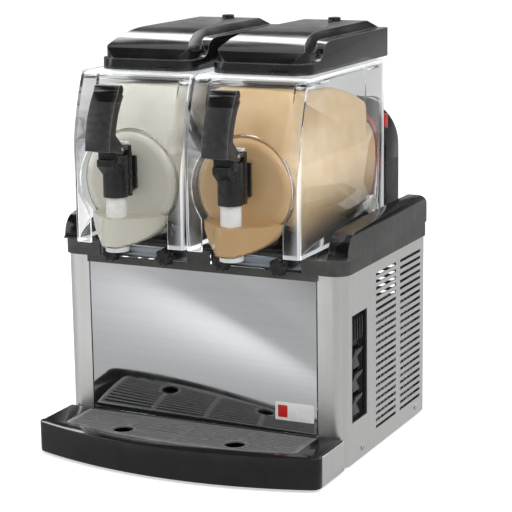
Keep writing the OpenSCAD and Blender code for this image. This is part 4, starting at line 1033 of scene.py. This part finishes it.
@dataclass
class FreezingBowl(SubAssembly):
    """One clear bowl in its clear jacket, with its seal, tap, lid and the drink inside.

    Attributes:
        side: Which bowl it is.
        drink: Finish of the drink.
        wall: Wall of the bowl.
        slack: Room between the drink and the bowl.
        nose: Radius of the drum's rounded nose inside.
        lean_radius: Radius of the backward lean of the front.
        lean_rise: Height over the jacket's foot where the lean starts.
        front_setback: Distance from the jacket's front to the hopper's.
        rear_setback: Distance from the jacket's rear to the hopper's.
        narrower: How much narrower the hopper is than the drum, each side.
        corner: Radius of the hopper's front corners.
        spout_nose: Radius of the spout round the tap.
        spout_half: Half of the spout's width at the drum.
        deck_drop: Depth of the spout's deck under the drum's axis.
        fill_top: Height of the drink over the drum's axis in front.
        fill_drop: How far the drink's surface falls towards the rear.
        fall_run: Length over which it falls, up to the rear.
        auger_room: Room between the auger and the drum's drink or the piston and the spout's.
        auger_gap: Distance from the auger's edge to the inside of the drum.
        ring_wall: Wall of the white ring at the outlet.
        shaft_hole: Radius of the hole in the nose of the drink.
    """

    side: Side = Side.RIGHT
    drink: Finish = CARAMEL_SLUSH
    wall: float = 0.003
    slack: float = 0.0004
    nose: float = 0.012
    lean_radius: float = 0.340
    lean_rise: float = 0.075
    front_setback: float = 0.009
    rear_setback: float = 0.031
    narrower: float = 0.008
    corner: float = 0.022
    spout_nose: float = 0.021
    spout_half: float = 0.054
    deck_drop: float = 0.039
    fill_top: float = 0.119
    fill_drop: float = 0.036
    fall_run: float = 0.12
    auger_room: float = 0.0008
    auger_gap: float = 0.006
    ring_wall: float = 0.002
    shaft_hole: float = 0.0125

    def __post_init__(self) -> None:
        """Reads the places that the drink needs from the frame."""
        name = self.side.value
        jacket_low, jacket_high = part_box(f"{name}_jacket")
        shaft_low, shaft_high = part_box(f"{name}_drive_shaft")
        auger_low, auger_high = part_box(f"{name}_auger")
        ring_low, ring_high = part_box(f"{name}_outlet_ring")
        bowl_low, bowl_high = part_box(f"{name}_bowl")
        self.axis_x = (shaft_low.x + shaft_high.x) / 2
        self.axis_z = (shaft_low.z + shaft_high.z) / 2
        self.jacket_front, self.jacket_rear, self.foot = jacket_low.y, jacket_high.y, jacket_low.z
        self.auger_r = (auger_high.z - auger_low.z) / 2
        self.auger_front = auger_low.y
        self.drum_r = self.auger_r + self.auger_gap
        self.tap_y = (ring_low.y + ring_high.y) / 2
        self.spout_floor, self.bowl_rear = ring_high.z, bowl_high.y
        self.bore_r = (ring_high.x - ring_low.x) / 2 - self.ring_wall

    def build(self) -> None:
        """Builds and dresses one side."""
        n = self.side.value
        for part, finish, slot, width_mm in (
                ("jacket", CLEAR_JACKET, "clear_jacket", 0.9), ("bowl", CLEAR_BOWL, "clear_bowl", 0.6),
                ("gasket", RED_SEAL, "red_seal", 0.8), ("outlet_ring", WHITE_PLASTIC, "white_plastic", 0.5),
                ("tap_body", SATIN_BLACK, "satin_black", 0.8), ("handle_pin", SCREW, "screw_steel", 0.4),
                ("tap_handle", PADDLE, "satin_black", 0.8), ("piston", WHITE_PLASTIC, "white_plastic", 0.8)):
            self.soften(f"{n}_{part}", finish, slot, width_mm)
        self.soften(f"{n}_lid", LID_BLACK, "gloss_black", 2.4, 4, 14.0)
        self._button()
        self._side_knob()
        self.place(self._drum_drink(), self.drink, "white_plastic", f"{n}_bowl_unit")
        self.place(self._spout_drink(), self.drink, "white_plastic", f"{n}_bowl_unit")

    def _button(self) -> None:
        """Makes the round lid button: a turned disc with a soft rim and a domed top over its stud."""
        node = f"{self.side.value}_lid_knob"
        low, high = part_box(node)
        centre, radius = (low + high) / 2, (high.x - low.x) / 2
        height = high.z - low.z
        t = np.linspace(0, np.pi / 2, 8)
        bend = 0.0014
        rim = np.stack([radius - bend + bend * np.cos(t), height - bend + bend * np.sin(t) - 0.0004], -1)
        stud = radius * 0.45
        profile = np.vstack([[stud, 0.0], [stud, height - 0.0042], [radius, height - 0.0040], rim,
                             [radius * 0.4, height - 0.0001], [radius * 0.05, height]])
        piece = Shapes.turned(f"{node}_cap", profile, Vector((centre.x, centre.y, low.z)), 2)
        self.place(piece, SATIN_BLACK, "satin_black", self.bodies[node], node)

    def _side_knob(self) -> None:
        """Makes the pale side knob: a turned grip with a rounded rim, a shallow dish and its stud."""
        node = f"{self.side.value}_side_knob"
        low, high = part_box(node)
        centre, radius = (low + high) / 2, (high.z - low.z) / 2
        length = high.x - low.x
        way = 1.0 if self.side is Side.RIGHT else -1.0
        foot = Vector((low.x if way > 0 else high.x, centre.y, centre.z))
        t = np.linspace(0, np.pi / 2, 8)
        bend, grip = 0.0026, 0.0165
        rim = np.stack([radius - bend + bend * np.cos(t), length - bend + bend * np.sin(t)], -1)
        stud = 0.0048
        profile = np.vstack([[stud, 0.0], [stud, length - grip], [radius - 0.0008, length - grip],
                             [radius, length - grip + 0.0008], rim, [radius * 0.62, length],
                             [radius * 0.54, length - 0.0012], [radius * 0.06, length - 0.0015]])
        piece = Shapes.turned(f"{node}_grip", profile, foot, 0, way)
        self.place(piece, PALE_GREY, "pale_grey_plastic", self.bodies[node], node)

    def _round_drum(self, shell: float, half_w: float) -> np.ndarray:
        """Spaces the directions round the drum, from straight up and back to it.

        One half runs in four even steps, closer together near the hopper's top corner and down to
        the crease where its side meets the drum, and the other half mirrors it.

        Args:
            shell: Radius of the drink in the drum.
            half_w: Half of the hopper's width inside.

        Returns:
            The directions in radians.
        """
        crease = math.atan2(half_w, math.sqrt(shell ** 2 - half_w ** 2))
        corner = math.atan2(half_w, self.fill_top)
        stops, counts = (0, corner * 0.85, corner * 1.15, crease, np.pi), (14, 12, 24, 60)
        half = np.concatenate([np.linspace(one, two, count, endpoint=False)
                               for one, two, count in zip(stops, stops[1:], counts)])
        return np.concatenate([half, [np.pi], 2 * np.pi - half[:0:-1]])

    def _in_hopper(self, angle: np.ndarray, shell: float, half_w: float,
                   inside: float) -> tuple[np.ndarray, np.ndarray]:
        """Works out the drink where the hopper stands over the drum.

        At each distance y along the drum the outline is, in the direction t from straight up,
        the larger of the drum's radius and of the hopper's box with sides w(y) and top h(y),
        which is (|sin t / w| ^ p + |cos t / h| ^ p) ^ (-1 / p) with p = 16. The height h(y)
        follows the leaning front, which is a circle, and then the drink's falling surface, and
        w(y) follows the round front corners. A small wave in y and t ripples the surface.

        Args:
            angle: Directions round the drum.
            shell: Radius of the drink in the drum.
            half_w: Half of the hopper's width inside.
            inside: Distance from the outside of the wall to the drink.

        Returns:
            The distances y, and the radius at each of them in each direction.
        """
        lean_z = self.foot + self.lean_rise - self.axis_z
        front = self.jacket_front + self.front_setback + inside
        rear = self.jacket_rear - self.rear_setback - inside
        rise = np.linspace(max(-lean_z, 0.0) + 0.02, self.fill_top - lean_z, 44)
        lean_y = front + self.lean_radius - np.sqrt(self.lean_radius ** 2 - rise ** 2)
        y = np.concatenate([lean_y, np.linspace(lean_y[-1] + 0.002, rear, 50)])
        back = np.clip((y - (rear - self.fall_run)) / self.fall_run, 0, 1)
        surface = self.fill_top - self.fill_drop * back ** 1.6
        short = np.maximum(self.lean_radius - (y - front), 0)
        lean_h = lean_z + np.sqrt(np.maximum(self.lean_radius ** 2 - short ** 2, 0))
        top = np.minimum(surface, lean_h)[:, None]
        into = np.clip(y - front, 0, self.corner)
        side = half_w - self.corner + np.sqrt(np.maximum(self.corner ** 2 - (self.corner - into) ** 2, 0))
        sin_t, cos_t = np.abs(np.sin(angle)), np.cos(angle)
        power = 16.0
        ratio = (sin_t / side[:, None]) ** power + (np.maximum(cos_t, 0) / np.maximum(top, 0.001)) ** power
        box = np.where(cos_t > 0, ratio ** (-1 / power), 0.0)
        ripple = 0.0006 * np.sin(y[:, None] * 130) * np.cos(angle * 9) * (cos_t > 0.86)
        return y, np.maximum(shell, box + ripple)

    def _drum_drink(self) -> bpy.types.Object:
        """Makes the drink in the drum and the hopper, hollow where the auger turns.

        The rings run from a hole in the front, over a nose whose profile is a quarter circle,
        through the hopper's part to the rear, and back along a plain bore for the auger.

        Returns:
            The new object.
        """
        inside = self.wall + self.slack
        shell = self.drum_r - inside
        bore = self.auger_r + self.auger_room
        half_w = self.drum_r - self.narrower - inside
        angle = self._round_drum(shell, half_w)
        y, hopper = self._in_hopper(angle, shell, half_w, inside)
        turn = np.linspace(0, np.pi / 2, 10)
        drum_front = self.jacket_front + self.wall + inside
        nose_y = drum_front + self.nose * (1 - np.cos(turn))
        nose_r = shell - self.nose + self.nose * np.sin(turn)
        before = np.array([self.shaft_hole, *nose_r, shell])
        after = np.array([shell, shell, bore, bore, self.shaft_hole])
        radii = np.vstack([np.tile(before[:, None], len(angle)), hopper, np.tile(after[:, None], len(angle))])
        rear_y, cavity_y = self.bowl_rear - 0.004, self.auger_front - 0.0012
        hopper_front = self.jacket_front + self.front_setback + inside
        depth = np.concatenate([[drum_front], nose_y, [hopper_front - 0.001], y,
                                [y[-1] + self.slack, rear_y, rear_y, cavity_y, cavity_y]])
        points = np.stack([self.axis_x + radii * np.sin(angle), np.broadcast_to(depth[:, None], radii.shape),
                           self.axis_z + radii * np.cos(angle)], -1)
        return Shapes.grid(f"{self.side.value}_drink", points, ring_rows=True)

    def _spout_drink(self) -> bpy.types.Object:
        """Makes the drink in the spout, with a bore for the tap's piston.

        In the direction t round the tap, the outer outline is the distance to the spout's plan,
        a round nose that widens in straight lines to the drum. At each height its width is cut
        to the ellipse of the spout's round underside. The inner outline is a circle.

        Returns:
            The new object.
        """
        inset = 0.0016
        nose, half = self.spout_nose - inset, self.spout_half - inset
        rear = self.jacket_front + 0.008
        reach = rear - self.tap_y
        floor, deck = self.spout_floor + inset, self.axis_z - self.deck_drop - inset
        angle = np.linspace(0, 2 * np.pi, 160, endpoint=False)
        sin_t, cos_t = np.sin(angle), -np.cos(angle)
        tilt = math.atan2(half - nose, reach)
        toward = np.abs(sin_t) * math.cos(tilt) - cos_t * math.sin(tilt)
        side_distance = nose / np.maximum(toward, 1e-6)
        rear_distance = reach / np.maximum(cos_t, 1e-6)
        plan = np.where(toward > 0, side_distance, 1.0)
        plan = np.minimum(plan, np.where(cos_t > 0, rear_distance, 1.0))
        front = (cos_t < 0) & (np.abs(sin_t) < math.cos(tilt)) & (-cos_t > math.sin(tilt))
        plan = np.where(front, nose, plan)
        levels = np.linspace(0, 1, 18)
        height = floor + (deck - floor) * levels
        drop = (deck - height) / (deck - floor + 0.001)
        widest = half * np.sqrt(np.maximum(1 - drop ** 2, 0))
        x = np.clip(plan[None] * sin_t[None], -widest[:, None], widest[:, None])
        y = np.broadcast_to(plan * cos_t, x.shape)
        bore = self.bore_r + self.auger_room
        inner_x = np.broadcast_to(bore * sin_t, x.shape)
        inner_y = np.broadcast_to(bore * cos_t, x.shape)
        rows_x = np.vstack([x, inner_x[::-1]])
        rows_y = np.vstack([y, inner_y[::-1]])
        rows_z = np.broadcast_to(np.concatenate([height, height[::-1]])[:, None], rows_x.shape)
        points = np.stack([self.axis_x + rows_x, self.tap_y + rows_y, rows_z], -1)
        return Shapes.grid(f"{self.side.value}_spout_drink", points, ring_rows=True)


# ---------------------------------------------------------------- studio


@dataclass(frozen=True)
class Softbox:
    """A rectangular lamp.

    Attributes:
        name: Name of the lamp.
        place: Where it hangs.
        size: Its width and height.
        watts: Its power.
    """

    name: str
    place: tuple[float, float, float]
    size: tuple[float, float]
    watts: float


@dataclass
class Studio:
    """Pale floor, soft light and the camera.

    Attributes:
        azimuth: Degrees that the camera stands to the right of straight ahead.
        elevation: Degrees that it stands above the horizon.
        roll: Degrees that it is turned about its own line of sight.
        distance: Distance to the target.
        target: Point that it looks at.
        lens_mm: Focal length on a 36 mm sensor.
        lamps: The lamps.
        floor_reach: Radius of the floor.
        floor_t: Thickness of the floor.
        far: Distance past which the camera sees nothing.
    """

    azimuth: float = 25.72
    elevation: float = 12.23
    roll: float = -0.82
    distance: float = 2.23846
    target: tuple[float, float, float] = (0.08028, -0.083, 0.2707)
    lens_mm: float = 125.31
    lamps: tuple[Softbox, ...] = (
        Softbox("key_softbox", (1.5, -0.9, 1.5), (1.2, 1.2), 17.0),
        Softbox("top_softbox", (-0.2, 0.2, 1.9), (1.6, 1.2), 9.0),
        Softbox("left_softbox", (-1.7, -1.2, 0.9), (0.7, 1.5), 9.0))
    floor_reach: float = 40.0
    floor_t: float = 0.01
    far: float = 120.0

    def build(self, finisher: Finisher) -> None:
        """Builds the studio.

        Args:
            finisher: Turns finishes into materials.
        """
        self._floor(finisher)
        self._world()
        for lamp in self.lamps:
            self._lamp(lamp)
        self._camera()
        scene = bpy.context.scene
        scene.view_settings.view_transform = "Standard"
        scene.cycles.use_denoising = True
        scene.cycles.max_bounces = 20
        scene.cycles.transmission_bounces = 20
        scene.cycles.transparent_max_bounces = 32

    def _floor(self, finisher: Finisher) -> None:
        """Makes the floor, a wide thin disc at the feet: rings of radius r with points at r cos u, r sin u.

        Args:
            finisher: Turns finishes into materials.
        """
        u = np.linspace(0, 2 * np.pi, 128, endpoint=False)
        rings = np.array([0.0005, 0.02, 0.2, 1.0]) * self.floor_reach
        x, y = rings[:, None] * np.cos(u), rings[:, None] * np.sin(u)
        top = np.stack([x, y, np.zeros_like(x)], -1)
        under = top[::-1] - np.array([0.0, 0.0, self.floor_t])
        floor = Shapes.grid("studio_floor", np.vstack([top, under]), cap_ends=True)
        finisher.dress(floor, FLOOR_PALE)

    def _world(self) -> None:
        """Makes a surround that is white to the eye and through clear plastic.

        Mirrors see it bright at the horizon and dark above, with a bright strip high behind.
        """
        world = bpy.data.worlds.new("studio_surround")
        world.use_nodes = True
        world.node_tree.nodes.clear()
        bpy.context.scene.world = world
        g = Graph(world.node_tree)
        way = g.add("ShaderNodeSeparateXYZ", {0: g.add("ShaderNodeTexCoord").outputs["Generated"]})
        up = way.outputs["Z"]
        path = g.add("ShaderNodeLightPath")
        seen = g.math("MAXIMUM", path.outputs["Is Camera Ray"], path.outputs["Is Transmission Ray"])
        low = g.ramp(up, 0.02, 0.34, 0.55, 0.05, smooth=True)
        strip = g.band(up, (0.46, 0.52), (0.66, 0.72))
        high = g.math("MULTIPLY", strip, g.ramp(way.outputs["Y"], 0.30, 0.42, 0.0, 6.0, smooth=True))
        mirror = g.math("ADD", low, high)
        shade = g.math("MULTIPLY_ADD", path.outputs["Is Glossy Ray"], g.math("SUBTRACT", mirror, 0.55), 0.55)
        value = g.math("ADD", g.math("MULTIPLY", g.math("SUBTRACT", 1.0, seen), shade), seen)
        back = g.add("ShaderNodeBackground", {"Color": (1.0, 1.0, 1.0, 1.0), "Strength": value})
        g.add("ShaderNodeOutputWorld", {"Surface": back.outputs[0]})

    def _lamp(self, lamp: Softbox) -> None:
        """Hangs one softbox so that it faces the target.

        Args:
            lamp: The softbox.
        """
        data = bpy.data.lights.new(lamp.name, "AREA")
        data.shape, data.size, data.size_y, data.energy = "RECTANGLE", *lamp.size, lamp.watts
        made = bpy.data.objects.new(lamp.name, data)
        made.location = lamp.place
        made.rotation_euler = (Vector(self.target) - Vector(lamp.place)).to_track_quat("-Z", "Y").to_euler()
        bpy.context.scene.collection.objects.link(made)

    def _camera(self) -> None:
        """Places the camera on its line to the target, with its roll."""
        a, e, r = (math.radians(v) for v in (self.azimuth, self.elevation, self.roll))
        back = Vector((math.sin(a) * math.cos(e), -math.cos(a) * math.cos(e), math.sin(e)))
        right = Vector((math.cos(a), math.sin(a), 0.0))
        up = back.cross(right)
        across = math.cos(r) * right + math.sin(r) * up
        upward = -math.sin(r) * right + math.cos(r) * up
        data = bpy.data.cameras.new("front_camera")
        data.lens, data.sensor_width, data.clip_end = self.lens_mm, 36.0, self.far
        camera = bpy.data.objects.new("front_camera", data)
        spot = Vector(self.target) + back * self.distance
        camera.matrix_world = Matrix((
            (across.x, upward.x, back.x, spot.x), (across.y, upward.y, back.y, spot.y),
            (across.z, upward.z, back.z, spot.z), (0.0, 0.0, 0.0, 1.0)))
        bpy.context.scene.collection.objects.link(camera)
        bpy.context.scene.camera = camera


def main() -> None:
    """Builds the dispenser around its frame."""
    logging.basicConfig(level=logging.INFO, format="%(message)s")
    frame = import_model()
    frame_nodes.update(frame["nodes"])
    bodies = {node: body for body, nodes in frame["record"]["behaviour"]["bodies"].items() for node in nodes}
    finisher = Finisher()
    Studio().build(finisher)
    for kind in (Cabinet, TopHousing, DripTray, Controls, Machinery):
        kind(finisher, bodies).build()
    FreezingBowl(finisher, bodies, Side.LEFT, CREAM_SLUSH).build()
    FreezingBowl(finisher, bodies, Side.RIGHT, CARAMEL_SLUSH).build()


if __name__ == "__main__":
    main()
